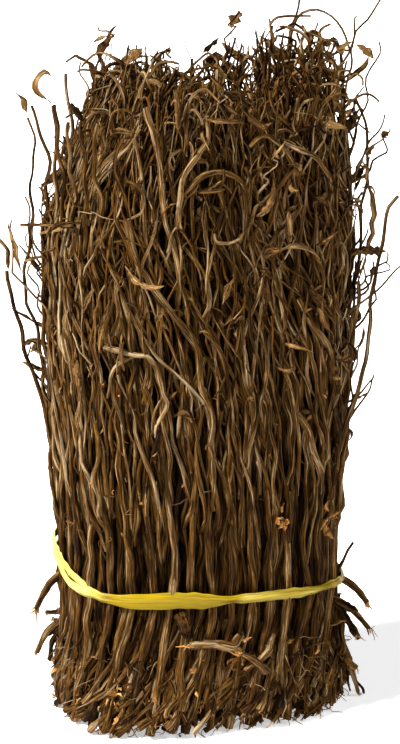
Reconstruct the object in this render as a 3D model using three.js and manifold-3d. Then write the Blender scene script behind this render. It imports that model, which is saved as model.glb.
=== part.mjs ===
// A bundle of dried twigs, tied low down with a strip of plastic film.
// Millimetres, +Z up. The origin is the middle of the bundle on the surface that it stands on.
// The broad front of the bundle faces -Y.
import * as THREE from 'three';
import { mergeVertices } from 'three/addons/utils/BufferGeometryUtils.js';
import Module from 'manifold-3d';

// ---- driving dimensions of the packed bundle
const HALF_WIDTH = 59;          // along X, over the inner twigs
const HALF_DEPTH = 40.5;        // along Y
const CORNER_POWER = 2.8;       // 2 is an ellipse, larger is squarer
const WALL_HEIGHT = 246;        // where the packed sides start to round over
const CROWN_HEIGHT = 271;       // highest tip of the inner twigs
const WAIST_HEIGHT = 60;        // where the tie squeezes the bundle
const WAIST_SHRINK = 0.035;
const WAIST_REACH = 42;
const LEVELS = [0, 18, 40, 60, 82, 108, 136, 164, 192, 220, WALL_HEIGHT];

// ---- outer stems
const STEM_COUNT = 38;
const STEM_SIDES = 6;
const BUTT_RADIUS = 2.0;        // at the cut end
const WAIST_RADIUS = 1.45;
const SHOOT_RADIUS = 0.75;      // near the top
const TOUCH_GAP = 0.4;          // left between pieces that touch
const GROOVE_DEPTH = 1.2;       // of the channel that an outer stem lies in
const RIDGE_HEIGHT = 0.6;       // of the inner twigs between two outer stems
const GROOVE_SLOPE = 0.92;      // cosine of the channel's sides
const LEAN = 0.032;             // share of the girth that a stem drifts, from the tie to either end
const WANDER = 0.2;             // side-to-side wave of a stem, as a share of the stem spacing

// ---- tie
const TIE_THICKNESS = 0.8;
const TIE_CLEARANCE = 2.9;      // inside of the strip, out from the inner twigs
const TIE_STATIONS = 48;
const KNOT_SHARE = 0.235;       // at the back
const KNOT_SIZE = [4.6, 2.4, 3.8]; // half sizes along the strip, outward and upward
const TAIL_HALF_WIDTH = 2.7;
const TAIL_HALF_THICKNESS = 0.4;

// ---- leaves
const LEAF_TIP_HALF_WIDTH = 0.35;
const LEAF_HALF_THICKNESS = 0.35;

// Stray shoots bend away along a line turned a little from X.
const STRAY_TURN = THREE.MathUtils.degToRad(-20);
const STRAY_ACROSS = new THREE.Vector3(Math.cos(STRAY_TURN), Math.sin(STRAY_TURN), 0);
const STRAY_BEHIND = new THREE.Vector3(-Math.sin(STRAY_TURN), Math.cos(STRAY_TURN), 0);

const wasm = await Module();
wasm.setup();
const bundle = new THREE.Group();

// ---- finishes
const FINISHES = {
  bark: { color: 0x6e4d2b, roughness: 0.85, metalness: 0 },
  darkBark: { color: 0x4b3420, roughness: 0.9, metalness: 0 },
  dryLeaf: { color: 0x7b5833, roughness: 0.8, metalness: 0 },
  film: { color: 0xe0bd28, roughness: 0.4, metalness: 0 },
};

function addPiece(name, geometry, finish) {
  const mesh = new THREE.Mesh(geometry, new THREE.MeshStandardMaterial(FINISHES[finish]));
  mesh.name = name;
  bundle.add(mesh);
}

// A repeatable number from 0 to 1 for each stem and use.
function chance(index, use) {
  const wave = Math.sin(index * 127.1 + use * 311.7) * 43758.5453;
  return wave - Math.floor(wave);
}

function between(low, high, share) {
  return low + (high - low) * share;
}

// ---- closed tubes
function closedLoft(rings) {
  const sides = rings[0].length;
  const positions = rings.flat().flatMap((point) => point.toArray());
  const faces = [];
  for (let row = 0; row < rings.length - 1; row += 1) {
    for (let side = 0; side < sides; side += 1) {
      const a = row * sides + side;
      const b = row * sides + (side + 1) % sides;
      faces.push(a, b, b + sides, a, b + sides, a + sides);
    }
  }
  capRing(positions, faces, rings[0], 0, false);
  capRing(positions, faces, rings.at(-1), (rings.length - 1) * sides, true);
  return meshGeometry(positions, faces);
}

function capRing(positions, faces, ring, first, faceForward) {
  const middle = ring.reduce((sum, point) => sum.add(point), new THREE.Vector3()).divideScalar(ring.length);
  const centre = positions.length / 3;
  positions.push(...middle.toArray());
  for (let side = 0; side < ring.length; side += 1) {
    const a = first + side;
    const b = first + (side + 1) % ring.length;
    faces.push(...(faceForward ? [centre, a, b] : [centre, b, a]));
  }
}

function meshGeometry(positions, faces) {
  const geometry = new THREE.BufferGeometry();
  geometry.setAttribute('position', new THREE.Float32BufferAttribute(positions, 3));
  geometry.setIndex(faces);
  geometry.computeVertexNormals();
  return geometry;
}

// A ring of points round each place on a path. Section sizes are across and through the strip of
// leaf or twig; `face` is the direction that the broad side of a flat section looks along.
function tubeAlong(path, sizeAt, sides, face = new THREE.Vector3(0, 1, 0)) {
  const rings = path.map((point, index) => {
    const before = path[Math.max(index - 1, 0)];
    const after = path[Math.min(index + 1, path.length - 1)];
    const forward = new THREE.Vector3().subVectors(after, before).normalize();
    const across = new THREE.Vector3().crossVectors(face, forward).normalize();
    const through = new THREE.Vector3().crossVectors(forward, across);
    const [width, thickness] = sizeAt(index / (path.length - 1));
    return Array.from({ length: sides }, (_, side) => {
      const turn = (side / sides) * 2 * Math.PI;
      return point.clone()
        .addScaledVector(across, width * Math.cos(turn))
        .addScaledVector(through, thickness * Math.sin(turn));
    });
  });
  return closedLoft(rings);
}

function smoothPath(points, steps) {
  return new THREE.CatmullRomCurve3(points, false, 'centripetal').getPoints(steps);
}

// ---- girth of the bundle
// Places round the girth go by share: 0 is +X, 0.25 the back, 0.5 -X and 0.75 the front.
const GIRTH_STEPS = 720;
const girth = measureGirth();

function girthPoint(turn) {
  const power = 2 / CORNER_POWER;
  const cosine = Math.cos(turn);
  const sine = Math.sin(turn);
  return new THREE.Vector2(
    Math.sign(cosine) * Math.abs(cosine) ** power * HALF_WIDTH,
    Math.sign(sine) * Math.abs(sine) ** power * HALF_DEPTH,
  );
}

function measureGirth() {
  const stepTurn = (2 * Math.PI) / GIRTH_STEPS;
  const points = Array.from({ length: GIRTH_STEPS + 1 }, (_, step) => girthPoint(step * stepTurn));
  const lengths = [0];
  for (let step = 1; step <= GIRTH_STEPS; step += 1) {
    lengths.push(lengths[step - 1] + points[step].distanceTo(points[step - 1]));
  }
  return { points, lengths, total: lengths.at(-1) };
}

function girthAt(share) {
  const wanted = (share - Math.floor(share)) * girth.total;
  const after = Math.max(girth.lengths.findIndex((length) => length > wanted), 1);
  const part = (wanted - girth.lengths[after - 1]) / (girth.lengths[after] - girth.lengths[after - 1]);
  const point = girth.points[after - 1].clone().lerp(girth.points[after], part);
  const outwardX = Math.sign(point.x) * (Math.abs(point.x) / HALF_WIDTH) ** (CORNER_POWER - 1) / HALF_WIDTH;
  const outwardY = Math.sign(point.y) * (Math.abs(point.y) / HALF_DEPTH) ** (CORNER_POWER - 1) / HALF_DEPTH;
  return { point, outward: new THREE.Vector2(outwardX, outwardY).normalize() };
}

function swellAt(height) {
  const reach = (height - WAIST_HEIGHT) / WAIST_REACH;
  return 1 - WAIST_SHRINK * Math.exp(-reach * reach) + 0.02 * (height / WALL_HEIGHT);
}

// A point by its place round the girth, its height, and its distance out from the inner twigs.
function surfacePoint(share, height, lift) {
  const { point, outward } = girthAt(share);
  const swell = swellAt(height);
  return new THREE.Vector3(point.x * swell + outward.x * lift, point.y * swell + outward.y * lift, height);
}

// ---- outer stems
const stemSpacing = 1 / STEM_COUNT;

function driftAt(height) {
  const below = Math.max(0, WAIST_HEIGHT - height) / WAIST_HEIGHT;
  const above = Math.max(0, height - WAIST_HEIGHT) / (WALL_HEIGHT - WAIST_HEIGHT);
  return -LEAN * (below + above ** 1.4);
}

function stemShare(index, height) {
  const wave = between(62, 120, chance(index, 1));
  const start = chance(index, 2) * 2 * Math.PI;
  const swing = WANDER * stemSpacing * between(0.4, 1, Math.min(height / 180, 1));
  const wander = swing * Math.sin((height / wave) * 2 * Math.PI + start);
  return (index + 0.5) * stemSpacing + driftAt(height) + wander;
}

function stemRadius(index, height) {
  const build = between(0.86, 1.12, chance(index, 3));
  const taper = height < WAIST_HEIGHT
    ? between(BUTT_RADIUS, WAIST_RADIUS, height / WAIST_HEIGHT)
    : between(WAIST_RADIUS, SHOOT_RADIUS, (height - WAIST_HEIGHT) / (CROWN_HEIGHT - WAIST_HEIGHT));
  return build * taper;
}

function stemPoint(index, height) {
  const lift = (stemRadius(index, height) + TOUCH_GAP) / GROOVE_SLOPE - GROOVE_DEPTH;
  return surfacePoint(stemShare(index, height), height, lift);
}

// Shoots that leave the bundle: where round the girth, the height where they part from it, and
// the way on as [distance across, height] along the stray line.
const STRAYS = [
  { share: 0.425, parts: 108, way: [[-66, 134], [-73, 157], [-78, 176], [-79.5, 190]] },
  {
    share: 0.455,
    parts: 108,
    way: [[-65, 142], [-68, 170], [-72, 191], [-69.5, 214], [-68, 242], [-70, 257]],
  },
  { share: 0.48, parts: 136, way: [[-65, 168], [-63.5, 196], [-64, 216], [-62, 239], [-69, 264]] },
  { share: 0.92, parts: 108, way: [[63.8, 135], [69.7, 162], [73.8, 198], [77, 219], [82, 226]] },
  { share: 0.94, parts: 136, way: [[63, 150], [65.5, 172], [66.5, 188]] },
  { share: 0.965, parts: 164, way: [[66.5, 205], [69.5, 236], [69, 253], [66.4, 264]] },
  { share: 0.045, parts: 246, way: [[57, 266], [64, 279], [66, 287], [71, 292], [76, 301]] },
  { share: 0.135, parts: 246, way: [[37, 268], [38.5, 281], [42, 296]] },
  { share: 0.105, parts: 246, way: [[38, 275], [41, 290], [50, 293], [58, 288], [64.5, 275]] },
];

function strayPath(index, stray) {
  const along = LEVELS.filter((height) => height <= stray.parts).map((height) => stemPoint(index, height));
  const behind = along.at(-1).dot(STRAY_BEHIND);
  const way = stray.way.map(([across, height]) => new THREE.Vector3(0, 0, height)
    .addScaledVector(STRAY_ACROSS, across)
    .addScaledVector(STRAY_BEHIND, behind));
  const bend = smoothPath([along.at(-2), along.at(-1), ...way], (way.length + 1) * 2);
  return [...along.slice(0, -2), ...bend];
}

function plainPath(index) {
  const along = LEVELS.map((height) => stemPoint(index, height));
  const tip = surfacePoint(
    stemShare(index, WALL_HEIGHT) + between(-0.008, 0.008, chance(index, 5)),
    between(258, CROWN_HEIGHT + 3, chance(index, 4)),
    between(-1, 3, chance(index, 6)),
  );
  return [...along, tip];
}

function nearestStem(share) {
  return Math.floor(share * STEM_COUNT);
}

function stemPath(index) {
  const stray = STRAYS.find((one) => nearestStem(one.share) === index);
  const path = stray ? strayPath(index, stray) : plainPath(index);
  path[0].z = between(0.9, 4.5, chance(index, 7));
  return path;
}

const stemPaths = Array.from({ length: STEM_COUNT }, (_, index) => stemPath(index));

function addStems() {
  stemPaths.forEach((path, index) => {
    const size = (part) => {
      const height = path[Math.round(part * (path.length - 1))].z;
      const radius = stemRadius(index, Math.min(height, CROWN_HEIGHT));
      return [radius, radius];
    };
    const name = `stem_${String(index + 1).padStart(2, '0')}`;
    addPiece(name, tubeAlong(path, size, STEM_SIDES), index % 3 ? 'bark' : 'darkBark');
  });
}

// ---- inner twigs, as one solid with a channel for each outer stem
const CROWN_RINGS = [[256, 0.94], [264, 0.8], [269, 0.55], [CROWN_HEIGHT, 0.25]];

function massRing(height, shrink, drawn) {
  const ring = [];
  for (let index = 0; index < STEM_COUNT; index += 1) {
    const here = stemShare(index, drawn);
    const next = stemShare((index + 1) % STEM_COUNT, drawn) + (index + 1 === STEM_COUNT ? 1 : 0);
    ring.push(surfacePoint(here, drawn, -GROOVE_DEPTH));
    ring.push(surfacePoint((here + next) / 2, drawn, RIDGE_HEIGHT));
  }
  ring.forEach((point) => point.set(point.x * shrink, point.y * shrink, height));
  return ring;
}

function addMass() {
  const wall = LEVELS.map((height) => massRing(height, 1, height));
  const crown = CROWN_RINGS.map(([height, shrink]) => massRing(height, shrink, WALL_HEIGHT));
  addPiece('twig_mass', closedLoft([...wall, ...crown]), 'darkBark');
}

// ---- tie: a flat strip, pinched in places, with its knot and two short tails at the back
// Control values round the girth: [share, height of the middle, width].
const TIE_COURSE = [
  [0.0, 55, 4.2], [0.12, 59, 4.4], [0.25, 65, 5], [0.38, 71, 5.5], [0.46, 70, 6], [0.53, 64.5, 6],
  [0.6, 62, 5.6], [0.66, 62.2, 6.6], [0.735, 60, 3], [0.8, 59.2, 3.8], [0.885, 57.3, 2.8], [0.95, 54.5, 4],
];

function tieCourse(share) {
  const place = share - Math.floor(share);
  const count = TIE_COURSE.length;
  const last = TIE_COURSE.findLastIndex(([start]) => start <= place);
  const next = (last + 1) % count;
  const span = TIE_COURSE[next][0] + (next === 0 ? 1 : 0) - TIE_COURSE[last][0];
  const blend = THREE.MathUtils.smoothstep((place - TIE_COURSE[last][0]) / span, 0, 1);
  return [1, 2].map((column) => between(TIE_COURSE[last][column], TIE_COURSE[next][column], blend));
}

function tieRing(share) {
  const [height, width] = tieCourse(share);
  const corner = (lift, rise) => surfacePoint(share, height + rise, lift);
  const outer = TIE_CLEARANCE + TIE_THICKNESS;
  return [
    corner(TIE_CLEARANCE, -width / 2),
    corner(outer, -width / 2),
    corner(outer, width / 2),
    corner(TIE_CLEARANCE, width / 2),
  ];
}

function tieLoop() {
  const rings = Array.from({ length: TIE_STATIONS }, (_, step) => tieRing(step / TIE_STATIONS));
  const positions = rings.flat().flatMap((point) => point.toArray());
  const faces = [];
  rings.forEach((ring, row) => {
    ring.forEach((_, side) => {
      const a = row * 4 + side;
      const b = row * 4 + (side + 1) % 4;
      const c = ((row + 1) % TIE_STATIONS) * 4 + (side + 1) % 4;
      const d = ((row + 1) % TIE_STATIONS) * 4 + side;
      faces.push(a, c, b, a, d, c);
    });
  });
  return meshGeometry(positions, faces);
}

function knotLump() {
  const lump = new THREE.SphereGeometry(1, 12, 7);
  lump.scale(...KNOT_SIZE);
  const { outward } = girthAt(KNOT_SHARE);
  lump.rotateZ(Math.atan2(outward.y, outward.x) - Math.PI / 2);
  const [height] = tieCourse(KNOT_SHARE);
  const place = surfacePoint(KNOT_SHARE, height, TIE_CLEARANCE + 2.5);
  return lump.translate(place.x, place.y, place.z);
}

function knotTail(sideways, drop) {
  const [height] = tieCourse(KNOT_SHARE);
  const points = [
    surfacePoint(KNOT_SHARE, height, TIE_CLEARANCE + 2.6),
    surfacePoint(KNOT_SHARE + sideways * 0.3, height - drop * 0.2, TIE_CLEARANCE + 4.6),
    surfacePoint(KNOT_SHARE + sideways * 0.7, height - drop * 0.6, TIE_CLEARANCE + 3.4),
    surfacePoint(KNOT_SHARE + sideways, height - drop, TIE_CLEARANCE + 2.2),
  ];
  const { outward } = girthAt(KNOT_SHARE);
  const face = new THREE.Vector3(outward.x, outward.y, 0);
  const size = (part) => [TAIL_HALF_WIDTH * between(0.6, 1, part), TAIL_HALF_THICKNESS];
  return tubeAlong(smoothPath(points, 6), size, 6, face);
}

function asManifold(geometry) {
  const bare = geometry.clone();
  bare.deleteAttribute('normal');
  bare.deleteAttribute('uv');
  const merged = mergeVertices(bare, 1e-4);
  return new wasm.Manifold(new wasm.Mesh({
    numProp: 3,
    vertProperties: new Float32Array(merged.attributes.position.array),
    triVerts: new Uint32Array(merged.index.array),
  }));
}

function joined(geometries) {
  const solid = geometries.map(asManifold).reduce((sum, part) => sum.add(part));
  const { vertProperties, triVerts } = solid.getMesh();
  return meshGeometry(Array.from(vertProperties), Array.from(triVerts));
}

function addTie() {
  const tails = [knotTail(0.055, 26), knotTail(-0.05, 21)];
  addPiece('tie_strip', joined([tieLoop(), knotLump(), ...tails]), 'film');
}

// ---- broken side roots and stubs at the foot: from and to as [share, height, lift]
const STUBS = [
  { from: [0.446, 53, 5.6], to: [0.44, 40, 11.6], radius: 1.6 },
  { from: [0.45, 32, 6.2], to: [0.445, 21, 11.2], radius: 1.5 },
  { from: [0.955, 50, 5.9], to: [0.945, 42, 14.2], radius: 1.7 },
  { from: [0.95, 39, 6.2], to: [0.94, 31, 14.6], radius: 1.5 },
  { from: [0.93, 17, 6.4], to: [0.937, 2.2, 9.6], radius: 1.3 },
  { from: [0.745, 40, 6], to: [0.69, 43, 6.6], radius: 1.6 },
  { from: [0.79, 27, 6.2], to: [0.755, 37, 8], radius: 1.7 },
  { from: [0.2, 42, 6.2], to: [0.215, 28, 9.5], radius: 1.7 },
];

function addStubs() {
  STUBS.forEach(({ from, to, radius }, index) => {
    const start = surfacePoint(...from);
    const end = surfacePoint(...to);
    const middle = start.clone().lerp(end, 0.5).add(new THREE.Vector3(0, 0, 0.8));
    const path = smoothPath([start, middle, end], 4);
    const size = (part) => [radius * between(1, 0.72, part), radius * between(1, 0.72, part)];
    const face = new THREE.Vector3().subVectors(end, start).cross(new THREE.Vector3(0, 0, 1)).normalize();
    addPiece(`stub_${index + 1}`, tubeAlong(path, size, 6, face), 'bark');
  });
}

// ---- curled leaves at the tips of shoots, and one on the side of a shoot
// Each starts just clear of its stem; the way on is [distance across, height] along the stray line.
const LEAVES = [
  { share: 0.425, width: 2.2, way: [[-79, 198], [-84.5, 206]] },
  { share: 0.455, width: 1.7, side: [-73.6, 192], way: [[-76.5, 203], [-78, 212]] },
  { share: 0.455, width: 2, way: [[-70.5, 262], [-75, 268]] },
  { share: 0.94, width: 2.3, way: [[69.7, 203], [72.5, 216], [69, 231], [67.5, 240]] },
  { share: 0.5, width: 2, way: [[-66, 272], [-63, 278], [-58.5, 276]] },
  { share: 0.36, width: 2.4, way: [[-41, 277], [-38, 282], [-33, 290]] },
  { share: 0.99, width: 2, way: [[65, 274], [68, 277], [69, 281]] },
];

function addLeaves() {
  LEAVES.forEach(({ share, width, side, way }, index) => {
    const tip = stemPaths[nearestStem(share)].at(-1);
    const behind = tip.dot(STRAY_BEHIND);
    const start = side ?? [tip.dot(STRAY_ACROSS), tip.z + 0.9];
    const points = [start, ...way].map(([across, height]) => new THREE.Vector3(0, 0, height)
      .addScaledVector(STRAY_ACROSS, across)
      .addScaledVector(STRAY_BEHIND, behind));
    const size = (part) => {
      const bulge = Math.sin(Math.PI * part) ** 0.7;
      return [between(LEAF_TIP_HALF_WIDTH, width, bulge), LEAF_HALF_THICKNESS];
    };
    addPiece(`leaf_${index + 1}`, tubeAlong(smoothPath(points, 7), size, 6, STRAY_BEHIND), 'dryLeaf');
  });
}

addMass();
addStems();
addTie();
addStubs();
addLeaves();

export default bundle;
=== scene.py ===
# %% [markdown]
# # A bundle of dried twigs, tied with a strip of yellow film
# Several hundred dried stems stand packed on their cut ends. Below they are thick and torn, above
# they are thin, wavy and hung with shrivelled leaves. One strip of plastic film holds them.
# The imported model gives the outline, the outermost stems and the tie. This script fills that
# outline with separate twigs and gives every piece its real surface.

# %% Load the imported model
import math

import bpy
import numpy as np
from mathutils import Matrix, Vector


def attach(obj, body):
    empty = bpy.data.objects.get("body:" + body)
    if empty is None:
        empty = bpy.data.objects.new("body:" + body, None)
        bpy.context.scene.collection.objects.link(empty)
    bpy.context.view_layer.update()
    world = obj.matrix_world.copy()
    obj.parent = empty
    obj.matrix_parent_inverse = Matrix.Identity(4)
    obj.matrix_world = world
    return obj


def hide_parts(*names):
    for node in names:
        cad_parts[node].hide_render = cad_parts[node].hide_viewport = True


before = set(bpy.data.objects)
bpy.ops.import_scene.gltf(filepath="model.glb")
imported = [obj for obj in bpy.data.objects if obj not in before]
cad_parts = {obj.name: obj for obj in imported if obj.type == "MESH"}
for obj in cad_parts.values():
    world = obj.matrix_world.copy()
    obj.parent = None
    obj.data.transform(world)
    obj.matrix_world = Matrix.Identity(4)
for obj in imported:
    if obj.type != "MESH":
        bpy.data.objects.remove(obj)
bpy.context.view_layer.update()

MM = 0.001

# %% [markdown]
# ## Camera
# A long lens from a little to the left and a little above, so the upright sides stay upright and
# the top and the foot both show their depth.

# %% Camera
VIEW_AZIMUTH = math.radians(-20)
VIEW_ELEVATION = math.radians(17.5)
VIEW_DISTANCE = 1.5
AIM_HEIGHT = 0.1465
FRAME_HEIGHT = 0.3125          # what the long side of the picture covers at the bundle
SENSOR = 36.0


def direction(azimuth, elevation):
    """From the bundle towards a camera or a lamp. Azimuth 0 is straight in front, at -Y."""
    flat = math.cos(elevation)
    return Vector((math.sin(azimuth) * flat, -math.cos(azimuth) * flat, math.sin(elevation)))


def look_at(thing, place, target):
    thing.location = place
    thing.rotation_euler = (target - place).to_track_quat("-Z", "Y").to_euler()


def add_camera():
    data = bpy.data.cameras.new("camera")
    camera = bpy.data.objects.new("camera", data)
    bpy.context.collection.objects.link(camera)
    aim = Vector((0.0005, 0.0, AIM_HEIGHT))
    look_at(camera, aim + direction(VIEW_AZIMUTH, VIEW_ELEVATION) * VIEW_DISTANCE, aim)
    data.sensor_width = SENSOR
    data.lens = SENSOR * VIEW_DISTANCE / FRAME_HEIGHT
    data.clip_start = 0.05
    bpy.context.scene.camera = camera
    return camera


camera = add_camera()
print("lens", round(camera.data.lens, 1))

# %% [markdown]
# ## The outline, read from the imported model
# Every outer stem is a tube of rings, closed at each end by a cap with a point in its middle.
# Starting at one such point and stepping outward over the edges visits the rings in order, so the
# middle of each ring gives the stem's course and its size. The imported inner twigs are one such
# tube too.

# %% Walk the rings of a tube
def merged_mesh(node):
    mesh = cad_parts[node].data
    corners = np.empty(len(mesh.vertices) * 3)
    mesh.vertices.foreach_get("co", corners)
    points, index = np.unique(np.round(corners.reshape(-1, 3) / MM, 3), axis=0, return_inverse=True)
    triangles = [[int(index.ravel()[v]) for v in face.vertices] for face in mesh.polygons]
    return points, triangles


def neighbours_of(points, triangles):
    near = [set() for _ in points]
    for a, b, c in triangles:
        near[a].update((b, c))
        near[b].update((a, c))
        near[c].update((a, b))
    return near


def walk(near, start):
    seen = {start}
    layers = [[start]]
    while True:
        layer = sorted(set().union(*(near[v] for v in layers[-1])) - seen)
        if not layer:
            return layers
        seen.update(layer)
        layers.append(layer)


def rings_of(node):
    points, triangles = merged_mesh(node)
    near = neighbours_of(points, triangles)
    for start in np.argsort(points[:, 2]):
        layers = walk(near, int(start))
        sizes = {len(layer) for layer in layers[1:-1]}
        if len(layers) > 3 and len(layers[-1]) == 1 and len(sizes) == 1:
            return [points[layer] for layer in layers[1:-1]]
    raise ValueError(node)


def course_of(node):
    rings = rings_of(node)
    middles = np.array([ring.mean(axis=0) for ring in rings])
    sizes = np.array([np.linalg.norm(ring - ring.mean(axis=0), axis=1).max() for ring in rings])
    return middles, sizes


stem_names = sorted(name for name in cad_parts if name.startswith("stem_"))
stem_courses = {name: course_of(name) for name in stem_names}
mass_rings = rings_of("twig_mass")
print("outer stems", len(stem_courses), "rings in the packed twigs", len(mass_rings))

# %% [markdown]
# ## A map of the girth
# The bundle's section is a rounded rectangle. A place in it is given by its share of the way round
# and by how far out it is, from 0 in the middle to 1 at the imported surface. Both follow the waist
# at the tie, so a stem keeps its place among its neighbours all the way up.

# %% Places in the bundle
CORNER_POWER = 2.8
RIDGE = 0.6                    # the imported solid's ridges stand this far out of its outline
WALL_TOP = 246.0
TIE_HEIGHT = 60.0
GIRTH_TURNS = np.linspace(0, 2 * np.pi, 1441)

ring_heights = np.array([ring[:, 2].mean() for ring in mass_rings])
ring_widths = np.array([np.abs(ring[:, 0]).max() - RIDGE for ring in mass_rings])
ring_depths = np.array([np.abs(ring[:, 1]).max() - RIDGE for ring in mass_rings])
wall = ring_heights <= WALL_TOP + 0.5


def half_sizes(height):
    width = np.interp(height, ring_heights[wall], ring_widths[wall])
    depth = np.interp(height, ring_heights[wall], ring_depths[wall])
    return width, depth


def corner_curve(turn):
    power = 2 / CORNER_POWER
    x = np.sign(np.cos(turn)) * np.abs(np.cos(turn)) ** power
    y = np.sign(np.sin(turn)) * np.abs(np.sin(turn)) ** power
    return x, y


def girth_table():
    width, depth = half_sizes(TIE_HEIGHT)
    x, y = corner_curve(GIRTH_TURNS)
    steps = np.hypot(np.diff(x * width), np.diff(y * depth))
    shares = np.concatenate([[0], np.cumsum(steps)])
    return shares / shares[-1], x, y, shares[-1]


GIRTH_SHARES, GIRTH_X, GIRTH_Y, GIRTH_LENGTH = girth_table()


def section_point(share, out):
    """A point of the unit section, by its share of the girth and how far out it is."""
    share = np.mod(share, 1.0)
    return np.interp(share, GIRTH_SHARES, GIRTH_X) * out, np.interp(share, GIRTH_SHARES, GIRTH_Y) * out


def section_place(x, y):
    """The other way: share of the girth and how far out, for a point of the unit section."""
    out = (np.abs(x) ** CORNER_POWER + np.abs(y) ** CORNER_POWER) ** (1 / CORNER_POWER)
    safe = np.maximum(out, 1e-6)
    turn = np.arctan2(
        np.sign(y) * np.abs(y / safe) ** (CORNER_POWER / 2),
        np.sign(x) * np.abs(x / safe) ** (CORNER_POWER / 2),
    )
    return np.interp(np.mod(turn, 2 * np.pi), GIRTH_TURNS, GIRTH_SHARES), out


def skin_point(share, height, lift):
    """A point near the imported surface, in millimetres; lift is the distance out from it."""
    width, depth = half_sizes(height)
    x, y = section_point(share, 1.0)
    outward_x = np.sign(x) * np.abs(x) ** (CORNER_POWER - 1) / width
    outward_y = np.sign(y) * np.abs(y) ** (CORNER_POWER - 1) / depth
    length = np.hypot(outward_x, outward_y)
    return np.stack(
        [x * width + outward_x / length * lift, y * depth + outward_y / length * lift, height + 0 * x],
        axis=-1,
    )


print("girth at the tie", round(GIRTH_LENGTH), "mm")

# %% [markdown]
# ## Stems that fill the outline
# The stems start on a loose triangular grid at the tie, where they are squeezed together. Away
# from it each one drifts round the bundle, sways with its neighbours in locks, and waves by itself,
# more and more towards its thin top.

# %% Starting places at the tie
rng = np.random.default_rng(41)
FULL_TURN = 6.3                # a whole turn, near enough for a random start
STEM_PITCH = 2.85
EDGE_ROOM = 1.7
LEVEL_COUNT = 26
TOP_OF_LEVELS = 288.0
levels = np.linspace(0, TOP_OF_LEVELS, LEVEL_COUNT)


def grid_places():
    width, depth = half_sizes(TIE_HEIGHT)
    rows = np.arange(-depth, depth, STEM_PITCH * math.sqrt(3) / 2)
    places = []
    for row, y in enumerate(rows):
        xs = np.arange(-width + (row % 2) * STEM_PITCH / 2, width, STEM_PITCH)
        places.append(np.stack([xs, np.full_like(xs, y)], axis=1))
    places = np.concatenate(places)
    places += rng.normal(0, 0.28 * STEM_PITCH, places.shape)
    room = np.array([width - EDGE_ROOM, depth - EDGE_ROOM])
    _, out = section_place(places[:, 0] / room[0], places[:, 1] / room[1])
    return places[out < 1] / np.array([width, depth])


unit_places = grid_places()
shares, outs = section_place(unit_places[:, 0], unit_places[:, 1])
stem_total = len(unit_places)
print("filling stems", stem_total)

# %% Sway and drift
DRIFT = 0.032                  # share of the girth, from the tie to either end
LOCK_WAVES = 9


def spread_from_tie(height):
    """0 at the tie and 1 where the stems are free to wander."""
    below = np.clip((TIE_HEIGHT - height) / TIE_HEIGHT, 0, 1) * 0.75
    above = np.clip((height - TIE_HEIGHT) / (WALL_TOP - TIE_HEIGHT), 0, 1.15)
    return np.where(height < TIE_HEIGHT, below, above ** 0.8)


def drifted_share(share, out, height, leaning=1.0):
    below = np.clip((TIE_HEIGHT - height) / TIE_HEIGHT, 0, 1)
    above = np.clip((height - TIE_HEIGHT) / (WALL_TOP - TIE_HEIGHT), 0, None)
    return share - DRIFT * out * leaning * (below ** 1.3 + above ** 1.4)


def lock_sway(x, y, height):
    """Neighbouring stems sway together: a few long waves through the bundle."""
    sway = np.zeros((2,) + np.broadcast(x, y, height).shape)
    for _ in range(LOCK_WAVES):
        across = rng.normal(0, 2 * np.pi / 34, 2)
        along = rng.normal(0, 2 * np.pi / 170)
        start = rng.uniform(0, 2 * np.pi)
        turn = rng.uniform(0, 2 * np.pi)
        wave = np.sin(across[0] * x + across[1] * y + along * height + start)
        sway[0] += math.cos(turn) * wave
        sway[1] += math.sin(turn) * wave
    return sway * (1.9 / math.sqrt(LOCK_WAVES))


def own_waves(count, height, short, long, size):
    """Each stem's own gentle waves, between two wavelengths in millimetres."""
    waves = np.zeros((2, count, height.shape[-1]))
    for axis in range(2):
        for _ in range(3):
            length = rng.uniform(short, long, (count, 1))
            start = rng.uniform(0, 2 * np.pi, (count, 1))
            wave = np.sin(2 * np.pi * height / length + start)
            waves[axis] += rng.normal(0, size / 1.7, (count, 1)) * wave
    return waves


def stem_targets():
    """Where each stem wants to be at each level, before its neighbours push."""
    height = levels[None, :]
    leaning = rng.normal(1, 0.45, (stem_total, 1))
    share = drifted_share(shares[:, None], outs[:, None], height, leaning)
    x, y = section_point(share, outs[:, None])
    width, depth = half_sizes(height)
    x, y = x * width, y * depth
    free = spread_from_tie(height)
    sway = lock_sway(x, y, height + 0 * x) * free
    waves = own_waves(stem_total, height + 0 * x, 70, 190, 3.4) * free
    waves += own_waves(stem_total, height + 0 * x, 34, 70, 1.7) * free ** 3
    return np.stack([x + sway[0] + waves[0], y + sway[1] + waves[1]], axis=-1)


print("drift from the tie to the top", round(DRIFT * GIRTH_LENGTH, 1), "mm round the bundle")

# %% Sizes of a stem up its length
TAPER_HEIGHTS = [0, 14, 40, 60, 110, 190, 250, 290]
TAPER_RADII = [1.95, 1.85, 1.6, 1.45, 1.3, 1.05, 0.75, 0.5]


def stem_radius(height, build):
    return np.interp(height, TAPER_HEIGHTS, TAPER_RADII) * build


builds = np.clip(np.exp(rng.normal(-0.2, 0.26, stem_total)), 0.5, 1.3)
builds *= np.interp(outs, [0.6, 0.9], [1.08, 0.92])
level_radii = stem_radius(levels[None, :], builds[:, None])
print("stem radius", level_radii.min().round(2), "to", level_radii.max().round(2), "mm")

# %% [markdown]
# ## Pushing the stems apart
# Waves alone would run stems through each other. At every level the stems are discs, so any two
# that overlap are pushed apart, then each stem is smoothed along its length and pulled gently back
# to where it wanted to be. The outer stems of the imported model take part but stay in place.

# %% Relax the stems level by level
RELAX_ROUNDS = 16
SKIN_LIFT = 0.9                # how far a filling stem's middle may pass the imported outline
PULL_BACK = 0.12


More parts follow.
